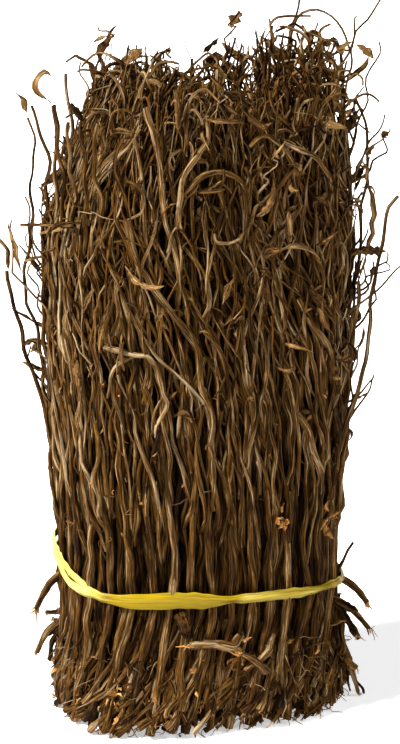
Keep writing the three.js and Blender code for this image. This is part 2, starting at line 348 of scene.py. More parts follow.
def course_at_levels(course, sizes):
    upward = np.maximum.accumulate(course[:, 2] + np.arange(len(course)) * 1e-4)
    x, y, r = (np.interp(levels, upward, values) for values in (course[:, 0], course[:, 1], sizes))
    r = np.where(levels > course[:, 2].max(), 0.0, r)
    return np.stack([x, y], axis=-1), r


fixed = [course_at_levels(*stem_courses[name]) for name in stem_names]
fixed_xy = np.array([xy for xy, _ in fixed])
fixed_radii = np.array([r for _, r in fixed])


def push_apart(xy, radii, anchored):
    """One round of pushing overlapping discs apart at one level. The anchored ones stay."""
    gap = xy[:, None, :] - xy[None, :, :]
    distance = np.sqrt((gap ** 2).sum(axis=-1)) + 1e-6
    wanted = (radii[:, None] + radii[None, :]) * 1.02
    overlap = np.clip(wanted - distance, 0, None)
    np.fill_diagonal(overlap, 0)
    share = np.where(anchored[None, :], 0.9, 0.45)
    push = (gap / distance[..., None] * (overlap * share)[..., None]).sum(axis=1)
    push[anchored] = 0
    size = np.linalg.norm(push, axis=1, keepdims=True)
    return xy + push * np.minimum(1, 1.5 / np.maximum(size, 1e-6))


def keep_inside(xy, height, radii):
    width, depth = half_sizes(height)
    room = np.stack([width + SKIN_LIFT - radii * 0.4, depth + SKIN_LIFT - radii * 0.4], axis=-1)
    _, out = section_place(xy[:, 0] / room[:, 0], xy[:, 1] / room[:, 1])
    return xy / np.maximum(out, 1)[:, None]


def relax(targets):
    xy = targets.copy()
    everyone = np.concatenate([xy, fixed_xy])
    radii = np.concatenate([level_radii, fixed_radii])
    anchored = np.arange(len(everyone)) >= stem_total
    for _ in range(RELAX_ROUNDS):
        for level, height in enumerate(levels):
            moved = push_apart(everyone[:, level], radii[:, level], anchored)
            moved[:stem_total] = keep_inside(moved[:stem_total], height, radii[:stem_total, level])
            everyone[:, level] = moved
        free = everyone[:stem_total]
        free[:, 1:-1] = 0.5 * free[:, 1:-1] + 0.25 * (free[:, :-2] + free[:, 2:])
        free += PULL_BACK * (targets - free)
    return everyone[:stem_total]


stem_xy = relax(stem_targets())
print("relaxed", stem_xy.shape)

# %% [markdown]
# ## From levels to smooth courses
# A Catmull-Rom curve through the level points gives each stem as many points as its looks need.
# Short waves and small kinks are added on this finer course, and the thin top curls away.

# %% Smooth courses
def through(points, times):
    """Catmull-Rom points for each row of times, in steps of the control points."""
    count = points.shape[1]
    first = np.clip(np.floor(times).astype(int), 0, count - 2)
    part = (times - first)[..., None]
    rows = np.arange(points.shape[0])[:, None]
    before, start, end, after = (points[rows, np.clip(first + k, 0, count - 1)] for k in (-1, 0, 1, 2))
    return 0.5 * (
        2 * start
        + (end - before) * part
        + (2 * before - 5 * start + 4 * end - after) * part ** 2
        + (3 * start - 3 * end + after - before) * part ** 3
    )


def distances(course):
    """How far along the course each of its points is."""
    steps = np.linalg.norm(np.diff(course, axis=0), axis=1)
    return np.concatenate([[0], np.cumsum(steps)])


def resample(course, values, count):
    """The same for one course of points that are not evenly spaced."""
    along = distances(course)
    wanted = np.linspace(0, along[-1], count)
    times = np.interp(wanted, along, np.arange(len(course)))
    smooth = through(course[None], times[None])[0]
    return smooth, np.interp(wanted, along, values)


def wave_course(course, size, short, long, grow=1.0):
    """Short sideways waves on one course, growing towards its end."""
    along = distances(course)
    envelope = (0.35 + 0.65 * (along / along[-1]) ** grow)[:, None]
    shift = np.zeros_like(course)
    for _ in range(3):
        way = rng.normal(0, 1, 3) * (1, 1, 0.3)
        phase = 2 * np.pi * along / rng.uniform(short, long) + rng.uniform(0, 2 * np.pi)
        shift += way[None, :] * np.sin(phase)[:, None] * size / 2.2
    return course + shift * envelope


def kink_course(course, size, short, long):
    """Sudden small bends at uneven distances, as a twig has at its nodes."""
    along = distances(course)
    knots = np.cumsum(rng.uniform(short, long, int(along[-1] / short) + 3)) - long
    shift = [np.interp(along, knots, rng.normal(0, size, len(knots))) for _ in range(2)]
    return course + np.stack([*shift, 0 * along], axis=1)


def knobbly(radii, amount):
    """Small swellings at the nodes, at uneven distances."""
    bumps = rng.normal(0, 1, len(radii))
    soft = np.convolve(bumps, [0.25, 0.5, 0.25], mode="same")
    nodes = (rng.uniform(0, 1, len(radii)) < 0.07) * rng.uniform(0.5, 1.6, len(radii))
    return radii * (1 + amount * soft + amount * np.convolve(nodes, [0.3, 1, 0.3], mode="same"))


OUTER_FROM = 0.80
OUTER_POINTS = 54
INNER_POINTS = 17
CROWN_PLACES = [-60, -42, -20, -2, 9, 20, 34, 58]           # from the left end to the right
CROWN_HEIGHTS = [258, 276, 281, 274, 260, 272, 284, 289]
LEAN_FROM = 204
LEAN_REACH = 78
LEFT_LEAN = 29
RIGHT_LEAN = 6


def crown_height(xy):
    """The bundle's uneven top: a dip right of the middle and a rise at each end."""
    return np.interp(xy[0], CROWN_PLACES, CROWN_HEIGHTS) - 5 * abs(xy[1] / 40) ** 3


def lean_crown(course):
    """Draws the left shoulder of the crown inward, and the right one a little."""
    rise = np.clip((course[:, 2] - LEAN_FROM) / LEAN_REACH, 0, 1.1) ** 1.3
    left = np.clip(-course[:, 0] / 60, 0, 1.1)
    right = np.clip(course[:, 0] / 60, 0, 1.1)
    course[:, 0] += rise * (LEFT_LEAN * left ** 1.5 - RIGHT_LEAN * right ** 1.5)
    return course


def filling_stem(index):
    outer = outs[index] > OUTER_FROM
    count = OUTER_POINTS if outer else INNER_POINTS
    bottom = rng.uniform(0.6, 11) if outer else rng.uniform(0.4, 4)
    crown = crown_height(stem_xy[index][-1])
    top = crown - abs(rng.normal(0, 15)) + rng.uniform(-3, 8)
    heights = bottom + (top - bottom) * np.linspace(0, 1, count) ** (0.92 if outer else 0.55)
    times = heights / levels[1]
    xy = through(stem_xy[index][None], times[None])[0]
    course = np.concatenate([xy, heights[:, None]], axis=1)
    course = wave_course(course, 1.3, 14, 40, 1.2)
    if outer:
        course = kink_course(course, 0.95, 7, 21)
    radii = knobbly(stem_radius(heights, builds[index]), 0.09)
    radii *= np.interp(heights, [top - 45, top], [1.1, 0.8])
    return lean_crown(curl_tip(course, outs[index])), radii


def curl_tip(course, out, reach=46.0):
    """The last stretch bends away sideways and a little outward."""
    top = course[-1, 2]
    part = np.clip((course[:, 2] - (top - reach)) / reach, 0, 1)[:, None]
    turn = rng.uniform(0, 2 * np.pi)
    size = rng.uniform(2, 15)
    away = np.array([math.cos(turn), math.sin(turn), -0.35]) * size
    outward = course[-1] * (1, 1, 0)
    outward = outward / max(np.linalg.norm(outward), 1) * 2.4 * out
    return course + (away + outward) * part ** 2.2


filling = [filling_stem(index) for index in range(stem_total)]
print("courses", len(filling), "points", sum(len(course) for course, _ in filling))

# %% [markdown]
# ## Crossing stems
# Some stems do not keep their place. They come out between their neighbours, lie slantwise over
# them for a hand's breadth, and go in again. These make the surface look tangled, not combed.

# %% Crossing stems on the surface
CROSSING_STEMS = 560
CROSSING_FROM = 74             # the lowest place where one comes out, above the tie
CROSSING_SPREAD = 151          # how much higher the highest comes out


def meander(part, length, size):
    """Sideways drift in millimetres: slow bends, shorter waves and a lean of its own."""
    drift = rng.normal(-0.06, 0.13) * length * part
    for wave, share in ((120, 1.0), (58, 0.6), (27, 0.3)):
        turns = length / wave * rng.uniform(0.7, 1.3)
        height = size * share * rng.normal(0, 1)
        drift = drift + height * np.sin(2 * np.pi * part * turns + rng.uniform(0, FULL_TURN))
    return drift


def crossing_stem():
    """One such stem, with the layer it lies in, which sets a painted shade: the higher it lies, the paler it
    is.
    """
    start = CROSSING_FROM + CROSSING_SPREAD * rng.uniform(0, 1) ** 1.2
    length = rng.uniform(45, 180)
    end = min(start + length, rng.uniform(255, 284))
    length = end - start
    count = int(10 + length / 4.6)
    part = np.linspace(0, 1, count)
    heights = start + length * part
    share = rng.uniform(0, 1)
    layer = rng.uniform(0.2, 3.4)
    lift = -2.4 + (2.4 + layer) * np.clip(np.sin(np.pi * part) * 2.6, 0, 1)
    lift += 0.7 * np.sin(2 * np.pi * part * length / 45 + rng.uniform(0, FULL_TURN))
    if end > 240:
        lift[part > 0.6] = np.maximum(lift[part > 0.6], layer)
    calm = np.interp(heights, [60, 130, 225], [0.3, 0.62, 1.3])
    shares = drifted_share(share, 1, heights) + calm * meander(part, length, 2.6) / GIRTH_LENGTH
    course = lean_crown(skin_point(shares, heights, lift))
    radii = knobbly(stem_radius(heights + 20, rng.uniform(0.48, 0.95)), 0.13)
    radii *= np.interp(part, [0, 0.08, 0.75, 1], [0.7, 1, 0.85, 0.45])
    course = kink_course(wave_course(course, 0.5, 12, 30, 2.5), 0.55, 5, 18)
    return course, radii, layer


woven = [crossing_stem() for _ in range(CROSSING_STEMS)]
crossing = [(course, radii) for course, radii, _ in woven]
layers = np.array([layer for _, _, layer in woven])
print("crossing", len(crossing), "stems, lifted up to", layers.max().round(1), "mm")

# %% Twigs with a place of their own
# Each has its size and tone, then its course as share of the girth, height and lift.
OWN_TWIGS = {
    "forked branch": (1.15, 0.85, [(0.594, 172, 3), (0.629, 170, 4.2), (0.647, 168, 4.4), (0.661, 154, 4.2),
                                   (0.664, 148, 4), (0.654, 140, 3), (0.652, 134, 1.5)]),
    "its fork": (0.8, 0.8, [(0.632, 170, 4), (0.612, 166, 4), (0.602, 161, 3), (0.596, 150, 1.5)]),
    "long slant": (1.5, 0.6, [(0.619, 226, 2), (0.629, 212, 3.6), (0.644, 202, 3.8), (0.664, 190, 3.8),
                              (0.681, 182, 3.8), (0.701, 172, 3.6), (0.706, 154, 3.6), (0.719, 144, 3.4),
                              (0.72, 128, 3), (0.724, 100, 2)]),
    "steep stem": (1.15, 0.75, [(0.644, 272, 2), (0.65, 262, 3.6), (0.659, 248, 3.8), (0.661, 234, 3.8),
                                (0.666, 222, 3.6), (0.678, 208, 3.4), (0.68, 190, 1.5)]),
    "arch": (1.3, 0.5, [(0.684, 236, 2.5), (0.704, 243, 4.4), (0.72, 245, 4.8), (0.736, 244, 4.8),
                        (0.755, 240, 4.4), (0.764, 233, 3), (0.763, 220, 1.5)]),
    "pale elbow": (1.3, 0.85, [(0.679, 222, 2), (0.681, 234, 4), (0.685, 244, 4.6), (0.704, 254, 4.8),
                               (0.713, 259, 4.8), (0.712, 268, 5)]),
    "right arc": (1.0, 0.6, [(0.765, 254, 3), (0.781, 258, 4.4), (0.793, 256, 4.6), (0.811, 250, 4.6),
                             (0.821, 244, 4.2), (0.828, 230, 2)]),
    "outer arc": (1.0, 0.65, [(0.808, 254, 3), (0.83, 250, 4.6), (0.85, 246, 4.6), (0.868, 238, 4.4),
                              (0.876, 230, 3), (0.878, 215, 1.5)]),
    "hook": (0.95, 0.6, [(0.826, 240, 3), (0.818, 243, 4.6), (0.806, 238, 4.8), (0.786, 232, 4.6),
                         (0.773, 228, 4), (0.765, 216, 2)]),
    "rung": (0.7, 0.8, [(0.722, 219, 3.5), (0.724, 216, 4.8), (0.738, 215, 5), (0.751, 216, 4.6)]),
    "ring": (0.55, 0.7, [(0.622, 242, 3), (0.632, 241, 4.8), (0.64, 236, 5), (0.638, 230, 4.8),
                         (0.627, 227, 3.6)]),
    "left branch": (0.65, 0.5, [(0.46, 213, 13), (0.49, 216, 8), (0.52, 218, 5), (0.559, 220, 3)]),
    "forked root": (1.5, 0.6, [(0.806, 41, 1.5), (0.793, 35, 5), (0.776, 32, 6.6), (0.762, 29, 7)]),
    "root fork": (1.1, 0.7, [(0.782, 32, 6), (0.775, 27, 7), (0.77, 21, 7)]),
    "hanging hook": (0.8, 0.3, [(0.943, 24, 1), (0.943, 14, 4), (0.945, 7, 8), (0.945, 2.5, 11.5),
                                (0.94, 1.2, 12)]),
    "hook fork": (0.6, 0.3, [(0.944, 12, 5), (0.94, 6, 5.5), (0.937, 2, 6.5)]),
    "gall": (2.6, 0.12, [(0.678, 55, 0.5), (0.681, 52.5, 2.2), (0.684, 49.5, 2.4), (0.688, 45, 0.5)]),
    "dark spur": (0.85, 0.15, [(0.945, 52, 0.5), (0.944, 62, 4), (0.941, 70, 7.5)]),
}


def own_twig(size, points):
    """A smooth, slightly kinked twig through the places given for it."""
    share, height, lift = np.array(points, dtype=float).T
    course, _ = resample(skin_point(share, height, lift), lift, 4 * len(points) + 4)
    radii = size * np.linspace(1.05, 0.75, len(course))
    return kink_course(wave_course(course, 0.3, 8, 18), 0.25, 5, 10), knobbly(radii, 0.14)


own_twigs = [own_twig(size, points) for size, _, points in OWN_TWIGS.values()]
own_tones = np.array([tone for _, tone, _ in OWN_TWIGS.values()])
print("twigs with their own place", len(own_twigs))

# %% Slanting butts round the foot
FOOT_STEMS = 270


def foot_stem(low=None, share=None, reach=7.4):
    """A butt end that bends out of the foot below the tie, most of them the same way."""
    share = rng.uniform(0, 1) if share is None else share
    top = rng.uniform(34, 57)
    bottom = rng.uniform(0.8, 17) if low is None else low
    part = np.linspace(0, 1, 8)
    bend = math.radians(rng.normal(22, 15) if rng.uniform() < 0.8 else rng.normal(-18, 10))
    slant = -math.tan(np.clip(bend, -1, 1)) * (top - bottom) * 0.7 / GIRTH_LENGTH
    heights = top + (bottom - top) * part
    lift = -2.4 + rng.uniform(2.6, reach) * part ** 1.1
    course = skin_point(drifted_share(share, 1, heights) + slant * part ** 2, heights, lift)
    course, heights = resample(course, heights, 18)
    radii = knobbly(stem_radius(heights, rng.uniform(0.38, 0.82)), 0.18)
    radii[-3:] *= rng.uniform(0.8, 1.4)
    return kink_course(wave_course(course, 0.9, 10, 26), 0.5, 5, 12), radii


foot = [foot_stem() for _ in range(FOOT_STEMS)]
side_places = [(0.94, 0.018, 15), (0.435, 0.02, 12)]
foot += [foot_stem(rng.uniform(14, 44), rng.normal(place, spread), reach)
         for place, spread, reach in side_places for _ in range(16)]
print("butts round the foot", len(foot))

# %% [markdown]
# ## Side shoots
# Thin shoots leave their stem at a sharp angle, bend upward and wave. There are few low down and a
# thicket of them at the top.

# %% Side shoots
SHOOTS = 660
FRINGE_SHOOTS = 64
CROWN_CURLS = 230


def side_shoot(parents):
    """A thin shoot that leaves a stem and bends upward, wilder near the top."""
    course, radii = parents[rng.integers(len(parents))]
    low = np.searchsorted(course[:, 2], 95)
    if low >= len(course) - 4:
        return None
    at = int(low + (len(course) - 3 - low) * rng.uniform(0, 1) ** 0.5)
    start = course[at]
    forward = course[min(at + 2, len(course) - 1)] - course[at]
    forward /= np.linalg.norm(forward)
    aside = rng.normal(0, 1, 3) * (1, 1, 0.4)
    aside /= np.linalg.norm(aside)
    high = np.interp(start[2], [150, 235], [0, 1])
    length = rng.uniform(18, 60) * (1 - 0.35 * high)
    length = min(length, (289 - start[2]) * 1.1 + 9)
    part = np.linspace(0, 1, 7)[:, None]
    spread = rng.uniform(0.15, 0.5 + 0.75 * high)
    line = start + forward * length * part + aside * length * spread * part ** rng.uniform(0.6, 1.5)
    droop = rng.uniform(-0.2, 0.5) * high * length
    line = line - np.array([0, 0, droop]) * part ** 2.5
    count = int(7 + length / 4.2)
    base = min(radii[at] * 0.95, rng.uniform(0.4, 0.8 + 0.3 * high))
    line, size = resample(line, np.linspace(base, base * 0.5, 7), count)
    line = lean_crown(wave_course(line, 1.4 + 2.6 * high, 12, 30))
    return kink_course(line, 0.5, 6, 16), size


def keep_near(course, most):
    """Pulls a course that strays too far from the bundle back towards it."""
    width, depth = half_sizes(course[:, 2])
    _, out = section_place(course[:, 0] / (width + most), course[:, 1] / (depth + most))
    return course / np.stack([np.maximum(out, 1), np.maximum(out, 1), np.ones_like(out)], axis=1)


def keep_low(course):
    """Draws a course that rises past the bundle's uneven top back towards it."""
    past = np.maximum(course[:, 2] - crown_height(course[:, :2].T) - 9, 0)
    return course - np.stack([0 * past, 0 * past, 0.82 * past], axis=1)


outer_parents = [stem for index, stem in enumerate(filling) if outs[index] > 0.7] + crossing
inner_parents = [stem for index, stem in enumerate(filling) if outs[index] <= 0.7]
made = [side_shoot(outer_parents if rng.uniform() < 0.75 else inner_parents) for _ in range(SHOOTS)]
shoots = [(keep_near(course, 4.5), radii) for course, radii in filter(None, made)]


def fringe_shoot():
    """A thin curly shoot that stands clear of the bundle's left or right side."""
    place = rng.choice([0.44, 0.945])
    height = rng.uniform(120, 262)
    start = skin_point(np.array(rng.normal(place, 0.022)), height, 0.0)
    outward = start * (1, 0.3, 0) / 60
    length = rng.uniform(14, 42)
    part = np.linspace(0, 1, 7)[:, None]
    side = rng.normal(0, 0.25, 3)
    lean = outward * length * rng.uniform(0.15, 0.5)
    line = start + length * part * (np.array([0, 0, 0.9]) + side) + lean * part ** 0.7
    line, size = resample(line, np.linspace(0.62, 0.36, 7), int(7 + length / 3))
    line = lean_crown(wave_course(line, 2.6, 11, 26))
    line[:, 0] = np.clip(line[:, 0], -75, 76)
    line[:, 1] = np.clip(line[:, 1], -47, 48)
    return kink_course(line, 0.5, 5, 12), size


shoots += [fringe_shoot() for _ in range(FRINGE_SHOOTS)]


def crown_curl(parents):
    """A thicker curled end that rises from a stem's tip and bends over."""
    course, _ = parents[rng.integers(len(parents))]
    start = course[-rng.integers(2, 5)]
    aside = rng.normal(0, 1, 3) * (1, 1, 0)
    aside /= np.linalg.norm(aside)
    turn = rng.uniform(1.2, 3.6)
    part = np.linspace(0, 1, 9)
    length = rng.uniform(12, 32)
    angle = (turn * part ** 1.4)[:, None]
    step = np.cos(angle) * np.array([0, 0, 1.0]) + np.sin(angle) * aside
    line = start + np.cumsum(step, axis=0) * length / len(part)
    line, size = resample(line, np.linspace(rng.uniform(0.6, 1.1), 0.45, 9), 13)
    line[:, 2] = np.minimum(line[:, 2], 300 + rng.uniform(0, 3))
    return kink_course(wave_course(line, 1.2, 9, 20), 0.6, 5, 11), knobbly(size, 0.15)


tops = [stem for stem in filling if stem[0][-1, 2] > 250]
shoots += [crown_curl(tops) for _ in range(CROWN_CURLS)]
shoots = [(keep_low(course), radii) for course, radii in shoots]
print("shoots", len(shoots))

# %% [markdown]
# ## Leaves, roots and torn ends
# The dry leaves are narrow, folded along the middle and curled. They hang on the stems and shoots,
# thickest near the top. At the foot the stems end in torn fibres and hair roots, and flakes of
# orange inner bark are caught between the stems.

# %% Shrivelled leaves
LEAVES = 760
BROAD_LEAVES = 130
LEAVES_FROM = 105              # no leaf hangs lower than this


def leaf_shape(start, forward, length, width, count=8, curl_size=1.9):
    """A curled course with the sizes and the twist of one folded leaf."""
    part = np.linspace(0, 1, count)
    side = np.cross(forward, rng.normal(0, 1, 3))
    side /= np.linalg.norm(side)
    curl = rng.normal(0, curl_size)
    angle = curl * part ** 1.5
    step = np.cos(angle)[:, None] * forward + np.sin(angle)[:, None] * side
    course = start + np.cumsum(step, axis=0) * length / len(part)
    outline = np.interp(part, [0, 0.12, 0.35, 0.7, 1], [0.16, 0.4, 1, 0.75, 0.12])
    crimp = 1 + 0.25 * rng.normal(0, 1, len(part))
    twist = rng.uniform(0, FULL_TURN) + rng.normal(0, 1.6) * part
    return course, np.clip(outline * crimp, 0.1, 1.3) * width / 2, twist


def stem_leaf(parents):
    course, _ = parents[rng.integers(len(parents))]
    low = np.searchsorted(course[:, 2], LEAVES_FROM)
    if low >= len(course) - 3:
        return None
    at = int(low + (len(course) - 2 - low) * rng.uniform(0, 1) ** 0.45)
    forward = course[at + 1] - course[at] + rng.normal(0, 2.2, 3) * (1, 1, 0.7)
    forward /= np.linalg.norm(forward)
    high = np.interp(course[at][2], [130, 250], [0, 1])
    length = rng.uniform(6, 13 + 8 * high)
    return leaf_shape(course[at], forward, length, rng.uniform(1.4, 2.8 + 2.2 * high))


leaf_parents = outer_parents + shoots
leaves = [leaf for leaf in (stem_leaf(leaf_parents) for _ in range(LEAVES)) if leaf is not None]


def broad_leaf():
    """A larger dry leaf or bark strip that lies against the upper half."""
    height = rng.uniform(150, 262)
    start = skin_point(np.array(rng.uniform(0, 1)), height, rng.uniform(0.8, 3.4))
    start = lean_crown(start[None])[0]
    forward = rng.normal(0, 0.6, 3) + (0, 0, rng.choice([-1, 1]))
    forward /= np.linalg.norm(forward)
    return leaf_shape(start, forward, rng.uniform(12, 27), rng.uniform(2.4, 4.8), 13, 1.3)


leaves += [broad_leaf() for _ in range(BROAD_LEAVES)]
leaves = [(keep_low(course), radii, twist) for course, radii, twist in leaves]
print("leaves", len(leaves))

# %% Torn ends, hair roots, fibres and flakes of inner bark
HAIR_ROOTS = 330
LOOSE_FIBRES = 620
BARK_FLAKES = 110
TORN_PATCHES = ((0.815, 92), (0.885, 86), (0.6, 22), (0.76, 33))  # share of the girth, height


def fibre(start, forward, length, size, curl):
    part = np.linspace(0, 1, 6)[:, None]
    aside = rng.normal(0, 1, 3)
    again = rng.normal(0, 1, 3)
    course = start + forward * length * part + aside * curl * part ** 2
    course = course + again * curl * 0.5 * np.sin(5 * part)
    course[:, 2] = np.maximum(course[:, 2], 0.3)
    return course, np.interp(part[:, 0], [0, 1], [size, size * 0.4])


def torn_end(course, radii):
    """Splinters that carry on past the cut end of a stem."""
    start = course[0]
    forward = start - course[1]
    forward /= np.linalg.norm(forward)
    made = []
    for _ in range(rng.integers(1, 4)):
        rim = rng.normal(0, 0.45, 3) * radii[0]
        way = forward + rng.normal(0, 0.35, 3)
        made.append(fibre(start + rim, way, rng.uniform(1.2, 3.6), rng.uniform(0.25, 0.6), 0.5))
    return made


ends = [(course, radii) for index, (course, radii) in enumerate(filling) if outs[index] > OUTER_FROM]
ends += [(course[::-1], radii[::-1]) for course, radii in foot]
splinters = [piece for course, radii in ends for piece in torn_end(course, radii)]


def hair_root():
    share = rng.choice([rng.uniform(0, 1), rng.normal(0.86, 0.05)])
    start = skin_point(np.array(share), rng.uniform(3, 36), rng.uniform(0, 3.5))
    forward = rng.normal(0, 1, 3) * (0.6, 0.6, 0.5) - (0, 0, 0.7)
    return fibre(start, forward, rng.uniform(3, 9), rng.uniform(0.18, 0.42), 2.4)


hair_roots = [hair_root() for _ in range(HAIR_ROOTS)]


def loose_fibre():
    height = rng.choice([rng.uniform(16, 40), rng.uniform(84, 262), rng.uniform(84, 262)])
    start = skin_point(np.array(rng.uniform(0, 1)), height, rng.uniform(0.5, 3.2))
    start = lean_crown(start[None])[0]
    forward = rng.normal(0, 1, 3)
    forward /= np.linalg.norm(forward)
    return fibre(start, forward, rng.uniform(2, 8), rng.uniform(0.14, 0.32), 1.6)


loose_fibres = [loose_fibre() for _ in range(LOOSE_FIBRES)]


def bark_flake():
    share = rng.uniform(0, 1)
    height = rng.choice([rng.uniform(4, 38), rng.uniform(4, 38), rng.uniform(86, 160)])
    start = skin_point(np.array(share), height, 2.4)
    forward = rng.normal(0, 1, 3)
    forward /= np.linalg.norm(forward)
    return leaf_shape(start, forward, rng.uniform(2.5, 6.5), rng.uniform(1.2, 2.6))


def torn_patch(share, height):
    """A patch of bark torn open, with its flakes standing up and down."""
    flakes = []
    for _ in range(9):
        start = skin_point(np.array(rng.normal(share, 0.005)), rng.normal(height, 2.4), 2.8)
        forward = rng.normal(0, 0.6, 3) + (0, 0, rng.choice([-1, 1]))
        forward /= np.linalg.norm(forward)
        flakes.append(leaf_shape(start, forward, rng.uniform(4, 8.5), rng.uniform(1.6, 2.9)))
    return flakes


flakes = [bark_flake() for _ in range(BARK_FLAKES)]
for share, height in TORN_PATCHES:
    flakes += torn_patch(share, height)
print("splinters", len(splinters), "hair roots", len(hair_roots), "flakes", len(flakes))

# %% [markdown]
# ## One tree of nodes that turns courses into twigs
# A course is a chain of edges whose points carry a size, a tone and a number of their own. The tree
# turns the chains into curves and sweeps a profile along them. The profile is a circle for bark,
# or a thin bowed strip for leaves. Fine ridges lift the surface along the grain. The tree stores
# the straightened twig's own coordinates as `grain`, so the bark pattern follows every bend.

# %% Helpers for node trees
def add_node(tree, kind, values=None, **settings):
    node = tree.nodes.new(kind)
    for name, value in settings.items():
        setattr(node, name, value)
    for socket, value in (values or {}).items():
        target = node.inputs[socket]
        if isinstance(value, bpy.types.NodeSocket):
            tree.links.new(value, target)
        else:
            target.default_value = value
    return node


def maths(tree, operation, a, b=None, c=None):
    values = {k: v for k, v in enumerate((a, b, c)) if v is not None}
    return add_node(tree, "ShaderNodeMath", values, operation=operation).outputs[0]


def named(tree, name, kind="FLOAT"):
    node = add_node(tree, "GeometryNodeInputNamedAttribute", {"Name": name}, data_type=kind)
    return node.outputs["Attribute"]


def store(tree, geometry, name, value, kind="FLOAT"):
    node = add_node(
        tree, "GeometryNodeStoreNamedAttribute",
        {"Geometry": geometry, "Name": name, "Value": value}, data_type=kind, domain="POINT",
    )
    return node.outputs["Geometry"]


# %% The sweep tree
SWEEP_INPUTS = {
    "Sides": ("NodeSocketInt", 8),
    "Flatness": ("NodeSocketFloat", 1.0),
    "Bow": ("NodeSocketFloat", 0.0),
    "Ridge": ("NodeSocketFloat", 0.2),
    "Finish": ("NodeSocketMaterial", None),
}


def profile_nodes(tree, inputs):
    """A circle, flattened and bowed as the inputs say."""
    circle = add_node(
        tree, "GeometryNodeCurvePrimitiveCircle", {"Resolution": inputs["Sides"], "Radius": 1.0},
    ).outputs["Curve"]
    circle = store(tree, circle, "around", add_node(tree, "GeometryNodeSplineParameter").outputs["Factor"])
    place = add_node(tree, "GeometryNodeInputPosition").outputs[0]
    x, y, _ = add_node(tree, "ShaderNodeSeparateXYZ", {0: place}).outputs
    flat = maths(tree, "MULTIPLY", y, inputs["Flatness"])
    bowed = maths(tree, "MULTIPLY_ADD", maths(tree, "MULTIPLY", x, x), inputs["Bow"], flat)
    shaped = add_node(tree, "ShaderNodeCombineXYZ", {"X": x, "Y": bowed}).outputs[0]
    return add_node(tree, "GeometryNodeSetPosition", {"Geometry": circle, "Position": shaped}).outputs[0]


def grain_nodes(tree):
    """The straightened twig's own coordinates, so the pattern follows every bend."""
    turn = maths(tree, "MULTIPLY", named(tree, "around"), 2 * math.pi)
    girth = named(tree, "girth")
    x = maths(tree, "MULTIPLY", maths(tree, "COSINE", turn), girth)
    y = maths(tree, "MULTIPLY", maths(tree, "SINE", turn), girth)
    shift = maths(tree, "MULTIPLY", named(tree, "number"), 0.137)
    spot = {"X": maths(tree, "ADD", x, shift), "Y": y, "Z": maths(tree, "ADD", named(tree, "along"), shift)}
    return add_node(tree, "ShaderNodeCombineXYZ", spot).outputs[0]


def ridge_nodes(tree, surface, grain, inputs):
    """Lifts and lowers the surface in long streaks along the grain."""
    stretched = add_node(
        tree, "ShaderNodeVectorMath", {0: grain, 1: (1000.0, 1000.0, 70.0)}, operation="MULTIPLY",
    ).outputs[0]
    noise = add_node(
        tree, "ShaderNodeTexNoise", {"Vector": stretched, "Scale": 1.0, "Detail": 1.0},
    ).outputs["Fac"]
    height = maths(tree, "MULTIPLY", maths(tree, "SUBTRACT", noise, 0.5), inputs["Ridge"])
    height = maths(tree, "MULTIPLY", height, named(tree, "girth"))
    normal = add_node(tree, "GeometryNodeInputNormal").outputs[0]
    offset = add_node(
        tree, "ShaderNodeVectorMath", {0: normal, "Scale": height}, operation="SCALE",
    ).outputs[0]
    return add_node(tree, "GeometryNodeSetPosition", {"Geometry": surface, "Offset": offset}).outputs[0]


def build_sweep_tree():
    tree = bpy.data.node_groups.new("Twig sweep", "GeometryNodeTree")
    tree.interface.new_socket("Courses", in_out="INPUT", socket_type="NodeSocketGeometry")
    for name, (kind, value) in SWEEP_INPUTS.items():
        socket = tree.interface.new_socket(name, in_out="INPUT", socket_type=kind)
        if value is not None:
            socket.default_value = value
    tree.interface.new_socket("Twigs", in_out="OUTPUT", socket_type="NodeSocketGeometry")
    inputs = tree.nodes.new("NodeGroupInput").outputs
    curve = add_node(tree, "GeometryNodeMeshToCurve", {"Mesh": inputs["Courses"]}).outputs[0]
    curve = add_node(
        tree, "GeometryNodeSetCurveTilt", {"Curve": curve, "Tilt": named(tree, "twist")},
    ).outputs[0]
    profile = {"Profile Curve": profile_nodes(tree, inputs), "Scale": named(tree, "girth")}
    swept = add_node(
        tree, "GeometryNodeCurveToMesh", {"Curve": curve, "Fill Caps": True, **profile},
    ).outputs["Mesh"]
    grain = grain_nodes(tree)
    swept = store(tree, swept, "grain", grain, "FLOAT_VECTOR")
    swept = ridge_nodes(tree, swept, named(tree, "grain", "FLOAT_VECTOR"), inputs)
    swept = add_node(tree, "GeometryNodeSetShadeSmooth", {"Geometry": swept}).outputs[0]
    real = add_node(tree, "GeometryNodeRealizeInstances", {"Geometry": swept}).outputs[0]
    done = add_node(
        tree, "GeometryNodeSetMaterial", {"Geometry": real, "Material": inputs["Finish"]},
    ).outputs[0]
    output = tree.nodes.new("NodeGroupOutput")
    tree.links.new(done, output.inputs[0])
    return tree


sweep_tree = build_sweep_tree()
print("sweep tree nodes", len(sweep_tree.nodes))


# %% Courses to a mesh of chains, and the sweep
ROOM_LOW = np.array([-82.0, -58.0, 0.0])
ROOM_HIGH = np.array([84.0, 60.0, 310.0])


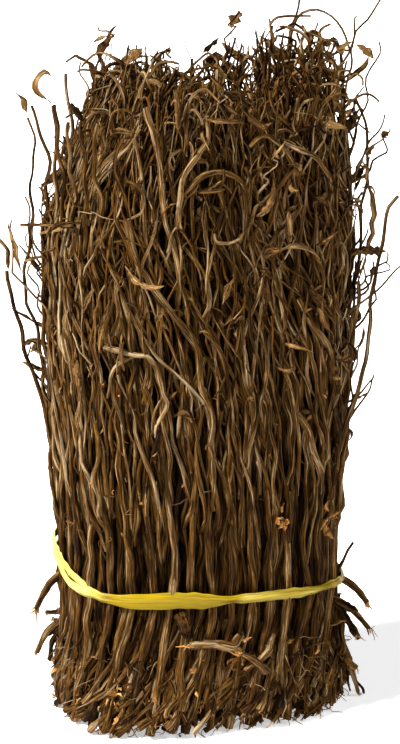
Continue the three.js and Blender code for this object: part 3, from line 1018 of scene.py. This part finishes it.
def chain_mesh(name, courses, tones, twists=None, lifts=None):
    """Chains of edges whose points carry the values that the tree of nodes reads."""
    points = np.concatenate([course for course, _ in courses])
    girths = np.concatenate([radii for _, radii in courses])
    points = np.clip(points, ROOM_LOW + girths[:, None], ROOM_HIGH - girths[:, None])
    mesh = bpy.data.meshes.new(name)
    starts = np.cumsum([0] + [len(course) for course, _ in courses])
    firsts = np.concatenate([np.arange(a, b - 1) for a, b in zip(starts[:-1], starts[1:])])
    mesh.vertices.add(len(points))
    mesh.vertices.foreach_set("co", (points * MM).ravel())
    mesh.edges.add(len(firsts))
    mesh.edges.foreach_set("vertices", np.stack([firsts, firsts + 1], axis=1).ravel())
    lengths = [len(course) for course, _ in courses]
    lifts = [0.0] * len(courses) if lifts is None else lifts
    tone_parts = [np.full(size, tone) + lift for size, tone, lift in zip(lengths, tones, lifts)]
    values = {
        "girth": girths * MM,
        "along": np.concatenate([distances(course) for course, _ in courses]) * MM,
        "tone": np.concatenate(tone_parts),
        "number": np.repeat(rng.uniform(0, 40, len(courses)), lengths),
        "twist": np.zeros(len(points)) if twists is None else np.concatenate(twists),
    }
    for key, column in values.items():
        layer = mesh.attributes.new(key, "FLOAT", "POINT")
        layer.data.foreach_set("value", column.astype(np.float32))
    return mesh


def sweep(name, courses, tones, finish, twists=None, lifts=None, **sizes):
    """Runs the tree of nodes over the courses and keeps the plain mesh that comes out."""
    source = bpy.data.objects.new(name + "_courses", chain_mesh(name, courses, tones, twists, lifts))
    bpy.context.collection.objects.link(source)
    modifier = source.modifiers.new("sweep", "NODES")
    modifier.node_group = sweep_tree
    sockets = {item.name: item.identifier for item in sweep_tree.interface.items_tree}
    for key, value in {**sizes, "Finish": finish}.items():
        modifier[sockets[key]] = value
    graph = bpy.context.evaluated_depsgraph_get()
    seen = source.evaluated_get(graph)
    mesh = bpy.data.meshes.new_from_object(seen, preserve_all_data_layers=True, depsgraph=graph)
    bpy.data.objects.remove(source)
    piece = bpy.data.objects.new(name, mesh)
    bpy.context.collection.objects.link(piece)
    mesh.materials.clear()
    mesh.materials.append(finish)
    return piece


def triangles_in(piece):
    return sum(len(face.vertices) - 2 for face in piece.data.polygons)


# %% [markdown]
# ## Bark
# Dried bark is brown with paler, greyer streaks that run along the twig. Its furrows and the grooves
# between its ridges are darkened with painted shade, so the ridges stand paler. No two twigs have
# the same tone, so each carries its own. The pattern is one group of shader nodes, used with other
# values for the leaves.

# %% The grain group
def group_sockets(tree, sockets, in_out):
    for name, kind, value in sockets:
        socket = tree.interface.new_socket(name, in_out=in_out, socket_type=kind)
        if value is not None:
            socket.default_value = value


def mix_colour(tree, factor, a, b, blend="MIX"):
    node = add_node(tree, "ShaderNodeMix", data_type="RGBA", blend_type=blend)
    for slot, value in (("Factor_Float", factor), ("A_Color", a), ("B_Color", b)):
        target = next(socket for socket in node.inputs if socket.identifier == slot)
        if isinstance(value, bpy.types.NodeSocket):
            tree.links.new(value, target)
        else:
            target.default_value = value
    return next(socket for socket in node.outputs if socket.identifier == "Result_Color")


def stretched_noise(tree, vector, stretch, detail=3.0, rough=0.6):
    scaled = add_node(
        tree, "ShaderNodeVectorMath", {0: vector, 1: stretch}, operation="MULTIPLY",
    ).outputs[0]
    values = {"Vector": scaled, "Scale": 1.0, "Detail": detail, "Roughness": rough}
    return add_node(tree, "ShaderNodeTexNoise", values).outputs["Fac"]


def span(tree, value, low, high, to_low=0.0, to_high=1.0):
    values = {"Value": value, "From Min": low, "From Max": high, "To Min": to_low, "To Max": to_high}
    return add_node(tree, "ShaderNodeMapRange", values).outputs[0]


def build_grain_group():
    """Streaks, blotches, rust and painted shade in furrows and ridge grooves, mixed between four colours."""
    tree = bpy.data.node_groups.new("Dry grain", "ShaderNodeTree")
    group_sockets(tree, [
        ("Grain", "NodeSocketVector", None),
        ("Tone", "NodeSocketFloat", 0.5),
        ("Dark", "NodeSocketColor", (0.03, 0.016, 0.008, 1)),
        ("Middle", "NodeSocketColor", (0.17, 0.1, 0.05, 1)),
        ("Pale", "NodeSocketColor", (0.45, 0.31, 0.18, 1)),
        ("Rusty", "NodeSocketColor", (0.4, 0.19, 0.06, 1)),
    ], "INPUT")
    group_sockets(tree, [
        ("Colour", "NodeSocketColor", None),
        ("Roughness", "NodeSocketFloat", None),
        ("Height", "NodeSocketFloat", None),
    ], "OUTPUT")
    inputs = tree.nodes.new("NodeGroupInput").outputs
    grain = inputs["Grain"]
    streaks = stretched_noise(tree, grain, (1700.0, 1700.0, 75.0), 4.0, 0.65)
    blotches = stretched_noise(tree, grain, (260.0, 260.0, 55.0), 3.0, 0.55)
    furrows = stretched_noise(tree, grain, (3200.0, 3200.0, 240.0), 3.0, 0.6)
    ridges = stretched_noise(tree, grain, (1000.0, 1000.0, 70.0), 1.0, 0.5)
    level = maths(tree, "MULTIPLY_ADD", inputs["Tone"], 0.62, span(tree, streaks, 0.36, 0.66, -0.3, 0.42))
    level = maths(tree, "ADD", level, span(tree, blotches, 0.35, 0.65, -0.16, 0.18))
    lower = mix_colour(tree, span(tree, level, 0.0, 0.45), inputs["Dark"], inputs["Middle"])
    colour = mix_colour(tree, span(tree, level, 0.45, 1.0), lower, inputs["Pale"])
    rust = span(tree, stretched_noise(tree, grain, (420.0, 420.0, 120.0), 2.0, 0.5), 0.6, 0.7, 0.0, 0.26)
    colour = mix_colour(tree, rust, colour, inputs["Rusty"])
    # Painted shade: darker colour in the bump's furrows and between the sweep's ridges (same noise).
    furrow_shade = span(tree, furrows, 0.34, 0.5, 0.5, 1.0)
    ridge_shade = span(tree, ridges, 0.38, 0.54, 0.3, 1.0)
    shade = maths(tree, "MULTIPLY", furrow_shade, ridge_shade)
    dark = add_node(tree, "ShaderNodeCombineColor", {0: shade, 1: shade, 2: shade}).outputs[0]
    colour = mix_colour(tree, 0.8, colour, dark, "MULTIPLY")
    roughness = span(tree, streaks, 0.3, 0.7, 0.86, 0.62)
    height = maths(tree, "MULTIPLY_ADD", furrows, 0.6, maths(tree, "MULTIPLY", streaks, 0.7))
    output = tree.nodes.new("NodeGroupOutput")
    for name, value in (("Colour", colour), ("Roughness", roughness), ("Height", height)):
        tree.links.new(value, output.inputs[name])
    return tree


grain_group = build_grain_group()
print("grain group nodes", len(grain_group.nodes))


# %% Dry bark and leaf finishes
def dry_material(name, colours, bump, bump_distance):
    """One dry finish: the grain group with its own colours and depth of relief."""
    material = bpy.data.materials.new(name)
    material.use_nodes = True
    tree = material.node_tree
    shader = tree.nodes["Principled BSDF"]
    grain = add_node(tree, "ShaderNodeAttribute", attribute_name="grain").outputs["Vector"]
    tone = add_node(tree, "ShaderNodeAttribute", attribute_name="tone").outputs["Fac"]
    group = add_node(tree, "ShaderNodeGroup", node_tree=grain_group)
    tree.links.new(grain, group.inputs["Grain"])
    tree.links.new(tone, group.inputs["Tone"])
    for key, value in colours.items():
        group.inputs[key].default_value = (*value, 1)
    raised = add_node(
        tree, "ShaderNodeBump",
        {"Strength": bump, "Distance": bump_distance, "Height": group.outputs["Height"]},
    ).outputs[0]
    tree.links.new(group.outputs["Colour"], shader.inputs["Base Color"])
    tree.links.new(group.outputs["Roughness"], shader.inputs["Roughness"])
    tree.links.new(raised, shader.inputs["Normal"])
    shader.inputs["Specular IOR Level"].default_value = 0.045
    return material


bark = dry_material("bark", {
    "Dark": (0.007, 0.0022, 0.0005), "Middle": (0.089, 0.037, 0.004),
    "Pale": (0.37, 0.27, 0.15), "Rusty": (0.19, 0.085, 0.014),
}, 1.0, 0.0007)
leaf_skin = dry_material("shrivelled_leaf", {
    "Dark": (0.014, 0.005, 0.001), "Middle": (0.12, 0.057, 0.015),
    "Pale": (0.34, 0.21, 0.085), "Rusty": (0.22, 0.1, 0.02),
}, 0.9, 0.0005)
inner_wood = dry_material("torn_wood", {
    "Dark": (0.1, 0.035, 0.008), "Middle": (0.34, 0.15, 0.035),
    "Pale": (0.56, 0.33, 0.13), "Rusty": (0.45, 0.17, 0.035),
}, 0.7, 0.0004)
print("finishes", [m.name for m in (bark, leaf_skin, inner_wood)])


# %% [markdown]
# ## The stems become meshes
# The stems that can be seen get more points and sides than those inside. Each kind is joined in
# one piece for the front and one for the back, and the outermost stems stay pieces of their own.

# %% Sweep the stems
def finish_piece(piece, slot, *nodes):
    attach(piece, "root")
    if nodes:
        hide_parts(*nodes)
    return piece


def tones_for(count, middle=0.5, spread=0.26):
    """A tone for each twig, from 0 for dark to 1 for pale."""
    return np.clip(rng.normal(middle, spread, count), 0, 1)


def lit_crown_part(course):
    """0 along the stem and 1 at its tip: the tip is pulled to a middle tone, so the painted shade of the
    inner stems gives way at the lit crown.
    """
    return np.clip((course[:, 2] - course[-1, 2] + 34) / 34, 0, 1) ** 1.2


def faces_front(share):
    return (share - 0.36) % 1 < 0.66


made_pieces = []
skin = [i for i in range(stem_total) if outs[i] > OUTER_FROM]
front = [i for i in skin if faces_front(shares[i])]
back = [i for i in skin if not faces_front(shares[i])]
inside = [i for i in range(stem_total) if outs[i] <= OUTER_FROM]
for name, chosen, sides in (("stems_front", front, 8), ("stems_back", back, 5), ("stems_inside", inside, 3)):
    # Painted shade: the deeper a stem lies in the bundle, the darker its tone, except near its tip at the
    # lit crown.
    depth = np.interp(outs[chosen], [0.7, 0.86, 0.96, 1.0], [-0.7, -0.4, -0.05, 0.15])
    tones = tones_for(len(chosen), 0.38) + depth
    courses = [filling[i] for i in chosen]
    lifts = [(0.42 - tone) * lit_crown_part(course) for (course, _), tone in zip(courses, tones)]
    piece = sweep(name, courses, tones, bark, lifts=lifts, Sides=sides, Ridge=0.6)
    made_pieces.append(finish_piece(piece, "inner_bark", "twig_mass"))
    print(name, len(chosen), "stems", triangles_in(piece), "triangles")


# %% Sweep the crossing stems, the butts and the shoots
def split_sides(courses, tones):
    """The courses and tones seen from the front, and the others."""
    width, depth = half_sizes(np.array([course[0, 2] for course, _ in courses]))
    starts = np.array([course[0] for course, _ in courses])
    share, _ = section_place(starts[:, 0] / width, starts[:, 1] / depth)
    ahead = faces_front(share)
    return [([courses[i] for i in np.flatnonzero(part)], tones[part]) for part in (ahead, ~ahead)]


# Painted shade: crossing stems lying deeper in the bundle are darker, those lifted higher paler.
crossing_tones_with_painted_shade = tones_for(len(crossing), 0.26, 0.2) + 0.11 * layers
groups = (
    ("placed_twigs", own_twigs, own_tones, 8),
    ("crossing_stems", crossing, crossing_tones_with_painted_shade, 8),
    ("butts", foot, tones_for(len(foot), 0.33), 8),
    ("shoots", shoots, tones_for(len(shoots), 0.48), 5),
)
for name, courses, tones, fine in groups:
    for side, (chosen, chosen_tones) in zip(("front", "back"), split_sides(courses, tones)):
        if not chosen:
            continue
        sides = fine if side == "front" else 5
        piece = sweep(f"{name}_{side}", chosen, chosen_tones, bark, Sides=sides, Ridge=0.6)
        made_pieces.append(finish_piece(piece, "twig_bark", "twig_mass"))
        print(piece.name, len(chosen), triangles_in(piece), "triangles")


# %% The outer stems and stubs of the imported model, each as its own twig
LEFT_ENDED = ("stub_6", "stub_7")  # these are broken off at their left end
stub_ends = []


def detailed(node, spacing, wave):
    """The course of a packed stem or stub, with kinks and knots added. A stub reaches inward."""
    course, radii = course_of(node)
    if node.startswith("stub"):
        if node in LEFT_ENDED:
            course, radii = course[::-1], radii[::-1]
        inward = (course[-1] - course[-2]) * 0.2 + (0, 0, 0.6)
        inward -= course[-1] * (1, 1, 0) / np.linalg.norm(course[-1][:2])
        course = np.concatenate([course, [course[-1] + inward * 3.5, course[-1] + inward * 9]])
        radii = np.concatenate([radii, radii[-1:], radii[-1:]]) * (1.35 if node == "stub_6" else 1.05)
        stub_ends.append((course, radii))
    length = distances(course)[-1]
    course, radii = resample(course, radii, max(int(length / spacing), 8))
    width, depth = half_sizes(course[:, 2])
    _, out = section_place(course[:, 0] / width, course[:, 1] / depth)
    thin = np.interp(out, [1.04, 1.12], [0.97, 0.8]) if node.startswith("stem") else 0.97
    thin = thin * np.interp(course[:, 2], [250, 275], [1, 0.85])
    return kink_course(wave_course(course, wave, 14, 36), wave, 9, 22), knobbly(radii * thin, 0.09)


for node in stem_names:
    name = node.replace("stem", "twig")
    courses = [detailed(node, 3.4, 0.7)]
    twig = sweep(name, courses, tones_for(1, 0.42, 0.16), bark, Sides=8, Ridge=0.34)
    made_pieces.append(finish_piece(twig, "twig_bark", node))
for node in sorted(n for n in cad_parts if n.startswith("stub_")):
    name = node.replace("stub", "broken_root")
    courses = [detailed(node, 1.2, 0.25)]
    stub = sweep(name, courses, tones_for(1, 0.66, 0.12), bark, Sides=10, Ridge=0.45)
    made_pieces.append(finish_piece(stub, "twig_bark", node))
print("pieces", len(made_pieces))

# %% Sweep the leaves, roots and flakes
LEAF = {"Sides": 6, "Flatness": 0.16, "Bow": 0.55, "Ridge": 0.25}
SPLIT_BARK = {"Sides": 8, "Flatness": 0.36, "Bow": 0.25, "Ridge": 0.5}
BARK_STRIPS = 110
LOCK_STRANDS = 11


def bark_strip():
    """A stem split flat, twisting slowly."""
    course, radii, _ = crossing_stem()
    course = course[: rng.integers(10, 22)]
    twist = rng.uniform(0, FULL_TURN) + rng.normal(0, 2.4) * np.linspace(0, 1, len(course))
    return course, np.clip(radii[: len(course)] * rng.uniform(1.3, 2.3), 0.8, 2.0), twist


def sweep_twisted(name, shapes, finish, slot, profile, *nodes):
    """Sweeps courses that carry their own twist, as leaves and split bark do."""
    courses = [(course, widths) for course, widths, _ in shapes]
    twists = [twist for _, _, twist in shapes]
    piece = sweep(name, courses, tones_for(len(courses), 0.5), finish, twists, **profile)
    made_pieces.append(finish_piece(piece, slot, *nodes))
    print(name, len(courses), triangles_in(piece), "triangles")


strips = [bark_strip() for _ in range(BARK_STRIPS)]
sweep_twisted("bark_strips", strips, bark, "twig_bark", SPLIT_BARK, "twig_mass")


def torn_lock():
    """Pale split fibres that hang together and bend over at the upper left."""
    spine = np.array([
        (0.59, 262, 1.5), (0.584, 256, 3.2), (0.573, 250, 4),
        (0.56, 243, 4), (0.556, 236, 3.4), (0.56, 224, 2),
    ])
    strands = []
    for _ in range(LOCK_STRANDS):
        moved = spine + rng.normal(0, 1, (1, 3)) * (0.004, 1.6, 0.5)
        moved = moved + rng.normal(0, 1, spine.shape) * (0.0012, 0.6, 0.25)
        course, _ = resample(skin_point(*moved.T), moved[:, 1], 18)
        size = knobbly(np.full(18, rng.uniform(0.3, 0.55)), 0.2)
        strands.append((kink_course(lean_crown(course), 0.35, 4, 9), size))
    return strands


lock = sweep("torn_lock", torn_lock(), tones_for(LOCK_STRANDS, 0.8, 0.12), bark, Sides=5, Ridge=0.5)
made_pieces.append(finish_piece(lock, "twig_bark", "twig_mass"))
print("torn_lock", LOCK_STRANDS, triangles_in(lock), "triangles")

sweep_twisted("leaves", leaves, leaf_skin, "dry_leaf", LEAF, "twig_mass")
sweep_twisted("bark_flakes", flakes, inner_wood, "dry_leaf", LEAF, "twig_mass")
orange = [piece for piece in splinters if rng.uniform() < 0.4]
orange += [piece for course, radii in stub_ends for _ in range(3) for piece in torn_end(course, radii)]
small = (
    ("torn_ends", splinters[::2], bark, "twig_bark"),
    ("orange_ends", orange, inner_wood, "dry_leaf"),
    ("hair_roots", hair_roots, bark, "twig_bark"),
    ("fibres", loose_fibres, bark, "twig_bark"),
)
for name, courses, finish, slot in small:
    piece = sweep(name, courses, tones_for(len(courses), 0.62), finish, Sides=3, Ridge=0.2)
    made_pieces.append(finish_piece(piece, slot, "twig_mass"))
    print(name, len(courses), triangles_in(piece), "triangles")

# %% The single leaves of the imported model
LEAF_FACE_TWIST = math.radians(70)
for node in sorted(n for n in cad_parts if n.startswith("leaf_")):
    course, widths = course_of(node)
    course, widths = resample(course, widths, 14)
    twist = LEAF_FACE_TWIST + rng.normal(0, 1.8) * np.linspace(-1, 1, len(course)) ** 2
    shape = (wave_course(course, 0.9, 6, 16), knobbly(widths * 0.62, 0.25), twist)
    sweep_twisted(node.replace("leaf", "curled_leaf"), [shape], leaf_skin, "dry_leaf", LEAF, node)

# %% [markdown]
# ## The film tie
# The strip is thin plastic film, creased lengthways and pulled tight, so it is wide and nearly flat
# in some places and bunched to a cord in others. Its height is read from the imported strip, and its
# width is a short table. A second fold lies above it on the left. The surface is a grid of points,
# along the strip and across it, lifted by the creases, with a thin wall between its two sides.

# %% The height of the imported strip
strip_points, _ = merged_mesh("tie_strip")
strip_width, strip_depth = half_sizes(strip_points[:, 2])
strip_shares, _ = section_place(strip_points[:, 0] / strip_width, strip_points[:, 1] / strip_depth)


def strip_middle(share):
    """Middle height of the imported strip, a share of the way round."""
    apart = np.abs((strip_shares - share + 0.5) % 1 - 0.5)
    near = strip_points[apart < 0.012]
    return (near[:, 2].max() + near[:, 2].min()) / 2


KNOT_SHARE = 0.235
course_shares = np.linspace(0, 1, 97)[:-1]
away_from_knot = np.abs(course_shares - KNOT_SHARE) > 0.075
strip_heights = np.array([strip_middle(share) for share in course_shares])


def strip_height(share):
    """The same for any share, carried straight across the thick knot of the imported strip."""
    heights = strip_heights[away_from_knot]
    return np.interp(np.mod(share, 1), course_shares[away_from_knot], heights, period=1)


print("strip height", strip_heights.min().round(1), strip_heights.max().round(1))

# %% Crease a band of film round the bundle
FILM_LIFT = 3.05
FILM_THICKNESS = 0.16
FILM_COLUMNS = 19
PINCHES = [0.585, 0.748, 0.88]  # where the film is bunched to a cord
# Where round the bundle the film is stretched milky, and how much. At the left, where it faces the key lamp,
# the milky colour is also a painted highlight.
MILKY_AND_HIGHLIGHT_SHARES = [0.36, 0.42, 0.56, 0.6, 0.74, 0.765, 0.87, 0.9]
MILKY_AND_HIGHLIGHT_PARTS = [0.0, 0.7, 0.8, -0.25, -0.25, 0.4, 0.4, -0.1]


def slow_noise(count, waves, low, high):
    """A smooth closed wave round the girth, for creases that drift along the strip."""
    place = np.linspace(0, 2 * np.pi, count, endpoint=False)
    return sum(
        rng.normal(0, 1) * np.sin(rng.integers(low, high) * place + rng.uniform(0, FULL_TURN))
        for _ in range(waves)
    ) / math.sqrt(waves)


def film_band(name, share, middle, width, lift, closed):
    """A strip whose creases deepen where it is narrow and gather where it is pinched."""
    count = len(share)
    across = np.linspace(-1, 1, FILM_COLUMNS)[None, :]
    drift = [slow_noise(count, 4, 2, 9)[:, None] for _ in range(3)]
    tight = np.clip(1 - (width[:, None] - 2.6) / 3.2, 0, 1)
    gather = sum(np.exp(-((share - pinch) / 0.014) ** 2) for pinch in PINCHES)[:, None]
    crease = 0.34 * np.sin(2 * np.pi * (0.7 * across + 0.35 * drift[0]))
    crease += 0.2 * np.sin(2 * np.pi * (1.9 * across + 0.5 * drift[1]))
    crease += 0.1 * np.sin(2 * np.pi * (3.6 * across + 0.8 * drift[2]))
    bunch = (0.5 + 0.6 * tight) * (1 - across ** 2)
    crease += 0.22 * gather * np.sin(2 * np.pi * (3.1 * across + 0.3 * drift[0]))
    out = lift[:, None] + (0.55 + 0.5 * tight) * crease + bunch + 0.25 * np.abs(across) ** 3
    out += 0.05 * slow_noise(count, 6, 30, 70)[:, None]
    uneven = 1 + 0.03 * slow_noise(count, 6, 10, 30)[:, None]
    heights = middle[:, None] + across * width[:, None] / 2 * uneven
    shares = share[:, None] + 0 * across
    outer = skin_point(shares, heights, out + FILM_THICKNESS)
    inner = skin_point(shares, heights, out)
    return film_shell(name, np.stack([outer, inner]), share, closed)


def film_shell(name, sides, share, closed):
    """Closes two grids of points into one thin wall."""
    _, rows, columns, _ = sides.shape
    number = np.arange(2 * rows * columns).reshape(2, rows, columns)
    last = rows if closed else rows - 1
    faces = []
    for row in range(last):
        after = (row + 1) % rows
        for column in range(columns - 1):
            a, b = number[0, row, column], number[0, after, column]
            c, d = number[0, after, column + 1], number[0, row, column + 1]
            faces.append((a, b, c, d))
            shift = rows * columns
            faces.append((a + shift, d + shift, c + shift, b + shift))
        for column, order in ((0, 1), (columns - 1, -1)):
            rim = (number[0, row, column], number[1, row, column],
                   number[1, after, column], number[0, after, column])
            faces.append(rim[::order])
    if not closed:
        for row, order in ((0, 1), (rows - 1, -1)):
            for column in range(columns - 1):
                rim = (number[0, row, column], number[0, row, column + 1],
                       number[1, row, column + 1], number[1, row, column])
                faces.append(rim[::order])
    mesh = bpy.data.meshes.new(name)
    faces = [tuple(int(corner) for corner in face) for face in faces]
    mesh.from_pydata((sides.reshape(-1, 3) * MM).tolist(), [], faces)
    store_film_grain(mesh, sides, share)
    mesh.polygons.foreach_set("use_smooth", [True] * len(mesh.polygons))
    piece = bpy.data.objects.new(name, mesh)
    bpy.context.collection.objects.link(piece)
    return piece


def store_film_grain(mesh, sides, share):
    """The flattened strip's own coordinates: across, along and side."""
    along = distances(sides[0, :, sides.shape[2] // 2])
    across = np.linspace(-1, 1, sides.shape[2]) * 3
    grain = np.zeros(sides.shape)
    grain[..., 0] = across[None, None, :]
    grain[..., 2] = along[None, :, None]
    grain[1, ..., 1] = 1
    layer = mesh.attributes.new("grain", "FLOAT_VECTOR", "POINT")
    layer.data.foreach_set("vector", (grain * MM).astype(np.float32).ravel())
    # Milky tone per row: stretch whitening, and at the left partly a painted highlight.
    milky_and_highlight = np.interp(share, MILKY_AND_HIGHLIGHT_SHARES, MILKY_AND_HIGHLIGHT_PARTS)[None, :, None] + 0 * grain[..., 0]
    tone = mesh.attributes.new("tone", "FLOAT", "POINT")
    tone.data.foreach_set("value", milky_and_highlight.astype(np.float32).ravel())


# %% Film finish
def film_material():
    """Yellow film with painted shade in its creases and along its lower edge, milky where stretched, partly
    a painted highlight at the left.
    """
    material = bpy.data.materials.new("yellow_film")
    material.use_nodes = True
    tree = material.node_tree
    shader = tree.nodes["Principled BSDF"]
    grain = add_node(tree, "ShaderNodeAttribute", attribute_name="grain").outputs["Vector"]
    streaks = stretched_noise(tree, grain, (2200.0, 900.0, 45.0), 3.0, 0.6)
    stretched = stretched_noise(tree, grain, (120.0, 60.0, 22.0), 2.0, 0.5)
    crinkle = stretched_noise(tree, grain, (700.0, 700.0, 240.0), 2.0, 0.5)
    painted_shade_yellow = (0.12, 0.08, 0.0, 1)
    plain = (0.3, 0.2, 0.0, 1)
    milky_and_highlight = (0.6, 0.5, 0.12, 1)
    # Painted shade: the film is darker where its bump dips, in the creases.
    colour = mix_colour(tree, span(tree, streaks, 0.35, 0.6), painted_shade_yellow, plain)
    # The milky colour is stretch whitening, and at the left, where the film faces the key lamp, also a
    # painted highlight.
    stretch = add_node(tree, "ShaderNodeAttribute", attribute_name="tone").outputs["Fac"]
    stretch = maths(tree, "ADD", stretch, span(tree, stretched, 0.35, 0.7, -0.25, 0.4))
    colour = mix_colour(tree, span(tree, stretch, 0.1, 1.0), colour, milky_and_highlight)
    # Painted shade: darker towards the lower edge of the band, which faces down away from the lamps.
    across = add_node(tree, "ShaderNodeSeparateXYZ", {0: grain}).outputs["X"]
    ragged = span(tree, streaks, 0.3, 0.7, -0.5, 0.5)
    lower = maths(tree, "ADD", maths(tree, "MULTIPLY", across, -300.0), ragged)
    colour = mix_colour(tree, span(tree, lower, -0.1, 0.7, 0.0, 0.8), colour, painted_shade_yellow)
    height = maths(tree, "MULTIPLY_ADD", streaks, 0.8, maths(tree, "MULTIPLY", crinkle, 0.5))
    bump = {"Strength": 0.35, "Distance": 0.0004, "Height": height}
    raised = add_node(tree, "ShaderNodeBump", bump).outputs[0]
    tree.links.new(colour, shader.inputs["Base Color"])
    tree.links.new(span(tree, crinkle, 0.3, 0.7, 0.28, 0.48), shader.inputs["Roughness"])
    tree.links.new(raised, shader.inputs["Normal"])
    shader.inputs["Specular IOR Level"].default_value = 0.13
    return material


yellow_film = film_material()
print("film finish nodes", len(yellow_film.node_tree.nodes))

# %% The two folds of the strip
def double_part(share):
    """1 where the strip lies double on the left, 0 where the folds have met."""
    ends = np.clip(np.minimum((share - 0.36) / 0.05, (0.582 - share) / 0.05), 0, 1)
    return ends ** 2 * (3 - 2 * ends)


BAND_ROWS = 360
WIDTH_SHARES = [0.0, 0.25, 0.42, 0.5, 0.55, 0.585, 0.62, 0.65, 0.7, 0.728, 0.748, 0.762, 0.83, 0.86,
                0.88, 0.9, 0.95]
WIDTHS = [3.6, 4.5, 4.5, 5.0, 5.6, 4.0, 6.3, 7.3, 7.2, 5.2, 2.5, 4.2, 4.7, 3.8, 2.5, 4.0, 3.6]
round_shares = np.linspace(0, 1, BAND_ROWS, endpoint=False)
round_widths = np.interp(round_shares, WIDTH_SHARES, WIDTHS, period=1)
# Three rounds in a row, so the smoothing meets no end where the round closes.
round_widths = np.convolve(np.tile(round_widths, 3), np.ones(5) / 5, mode="same")[BAND_ROWS:2 * BAND_ROWS]
left_fold = double_part(round_shares)
band = film_band(
    "film_band", round_shares, strip_height(round_shares) - 1.9 * left_fold,
    round_widths * (1 - 0.3 * left_fold), FILM_LIFT + 0 * round_shares, True,
)
upper_shares = np.linspace(0.33, 0.6, 150)
rise = double_part(upper_shares)
ends_tuck = np.interp(upper_shares, [0.33, 0.38, 0.545, 0.6], [0, 1, 1, 0])
upper = film_band(
    "film_fold", upper_shares, strip_height(upper_shares) + 0.3 + 2.9 * rise,
    (2.4 + 1.2 * rise) * (0.35 + 0.65 * ends_tuck), FILM_LIFT - 1.1 + 1.2 * ends_tuck, False,
)
for piece in (band, upper):
    piece.data.materials.append(yellow_film)
    made_pieces.append(finish_piece(piece, "plastic_film", "tie_strip"))
    print(piece.name, triangles_in(piece), "triangles")

# %% The knot and its two tails, at the back
KNOT_TUBE = 1.15
TAIL_POINTS = 34


def knot_course():
    """A small flattened trefoil: the strip passed once over and through itself."""
    turn = np.linspace(0, 2 * np.pi, 61)
    sideways = 1.75 * (np.sin(turn) + 1.15 * np.sin(2 * turn))
    upward = 1.45 * (np.cos(turn) - 1.15 * np.cos(2 * turn))
    outward = 0.85 * np.sin(3 * turn)
    height = strip_height(np.array(KNOT_SHARE))
    course = skin_point(KNOT_SHARE + sideways / GIRTH_LENGTH, height + upward, FILM_LIFT + 2.2 + outward)
    return course, np.full(len(turn), KNOT_TUBE) * (1 + 0.12 * np.sin(7 * turn))


def tail_course(sideways, drop):
    height = strip_height(np.array(KNOT_SHARE))
    part = np.linspace(0, 1, 5)
    lift = FILM_LIFT + np.interp(part, [0, 0.25, 0.7, 1], [2.0, 4.2, 2.4, 1.3])
    course = skin_point(KNOT_SHARE + sideways * part, height - drop * part ** 1.2, lift)
    course, widths = resample(course, np.interp(part, [0, 0.3, 1], [1.3, 2.4, 3.1]), TAIL_POINTS)
    return course, widths * (1 + 0.1 * np.sin(np.linspace(0, 9, TAIL_POINTS)))


knot = sweep("film_knot", [knot_course()], np.array([0.5]), yellow_film, Sides=14, Flatness=0.7, Ridge=0.5)
made_pieces.append(finish_piece(knot, "plastic_film", "tie_strip"))
print("film_knot", triangles_in(knot), "triangles")
for number, (sideways, drop) in enumerate(((0.055, 26.0), (-0.05, 21.0)), start=1):
    tail = sweep(
        f"film_tail_{number}", [tail_course(sideways, drop)], np.array([0.5]), yellow_film,
        [np.linspace(1.2, 2.0, TAIL_POINTS)], Sides=14, Flatness=0.1, Bow=0.3, Ridge=0.35,
    )
    made_pieces.append(finish_piece(tail, "plastic_film", "tie_strip"))
    print(tail.name, triangles_in(tail), "triangles")
print("pieces in all", len(made_pieces), "triangles", sum(triangles_in(piece) for piece in made_pieces))

# %% [markdown]
# ## Floor and light
# A pale floor that glows faintly, one strong lamp from the left, a soft weak one from the right in
# front, and a dim sky.

# %% Floor, lamps and sky
FLOOR_REACH = 60.0


def plain_floor():
    mesh = bpy.data.meshes.new("floor")
    corners = [(x * FLOOR_REACH, y * FLOOR_REACH, 0) for x, y in ((-1, -1), (1, -1), (1, 1), (-1, 1))]
    mesh.from_pydata(corners, [], [(0, 1, 2, 3)])
    floor = bpy.data.objects.new("floor", mesh)
    bpy.context.collection.objects.link(floor)
    material = bpy.data.materials.new("pale_floor")
    material.use_nodes = True
    shader = material.node_tree.nodes["Principled BSDF"]
    shader.inputs["Base Color"].default_value = (0.9, 0.9, 0.9, 1)
    shader.inputs["Roughness"].default_value = 0.9
    shader.inputs["Emission Color"].default_value = (1, 1, 1, 1)
    shader.inputs["Emission Strength"].default_value = 0.5
    mesh.materials.append(material)
    return floor


def far_lamp(name, azimuth, elevation, spread, strength, colour):
    """A lamp far away, so the floor is lit evenly. Its spread softens the shadows."""
    data = bpy.data.lights.new(name, "SUN")
    data.angle = math.radians(spread)
    data.energy = strength
    data.color = colour
    lamp = bpy.data.objects.new(name, data)
    bpy.context.collection.objects.link(lamp)
    look_at(lamp, direction(math.radians(azimuth), math.radians(elevation)) * 3, Vector((0, 0, 0)))
    return lamp


plain_floor()
far_lamp("key", -82, 44, 9, 12.2, (1.0, 0.985, 0.96))
far_lamp("fill", 34, 40, 36, 1.7, (0.98, 0.99, 1.0))
world = bpy.data.worlds.new("sky")
world.use_nodes = True
world.node_tree.nodes["Background"].inputs["Color"].default_value = (1, 1, 1, 1)
world.node_tree.nodes["Background"].inputs["Strength"].default_value = 0.07
bpy.context.scene.world = world
bpy.context.scene.view_settings.view_transform = "Standard"
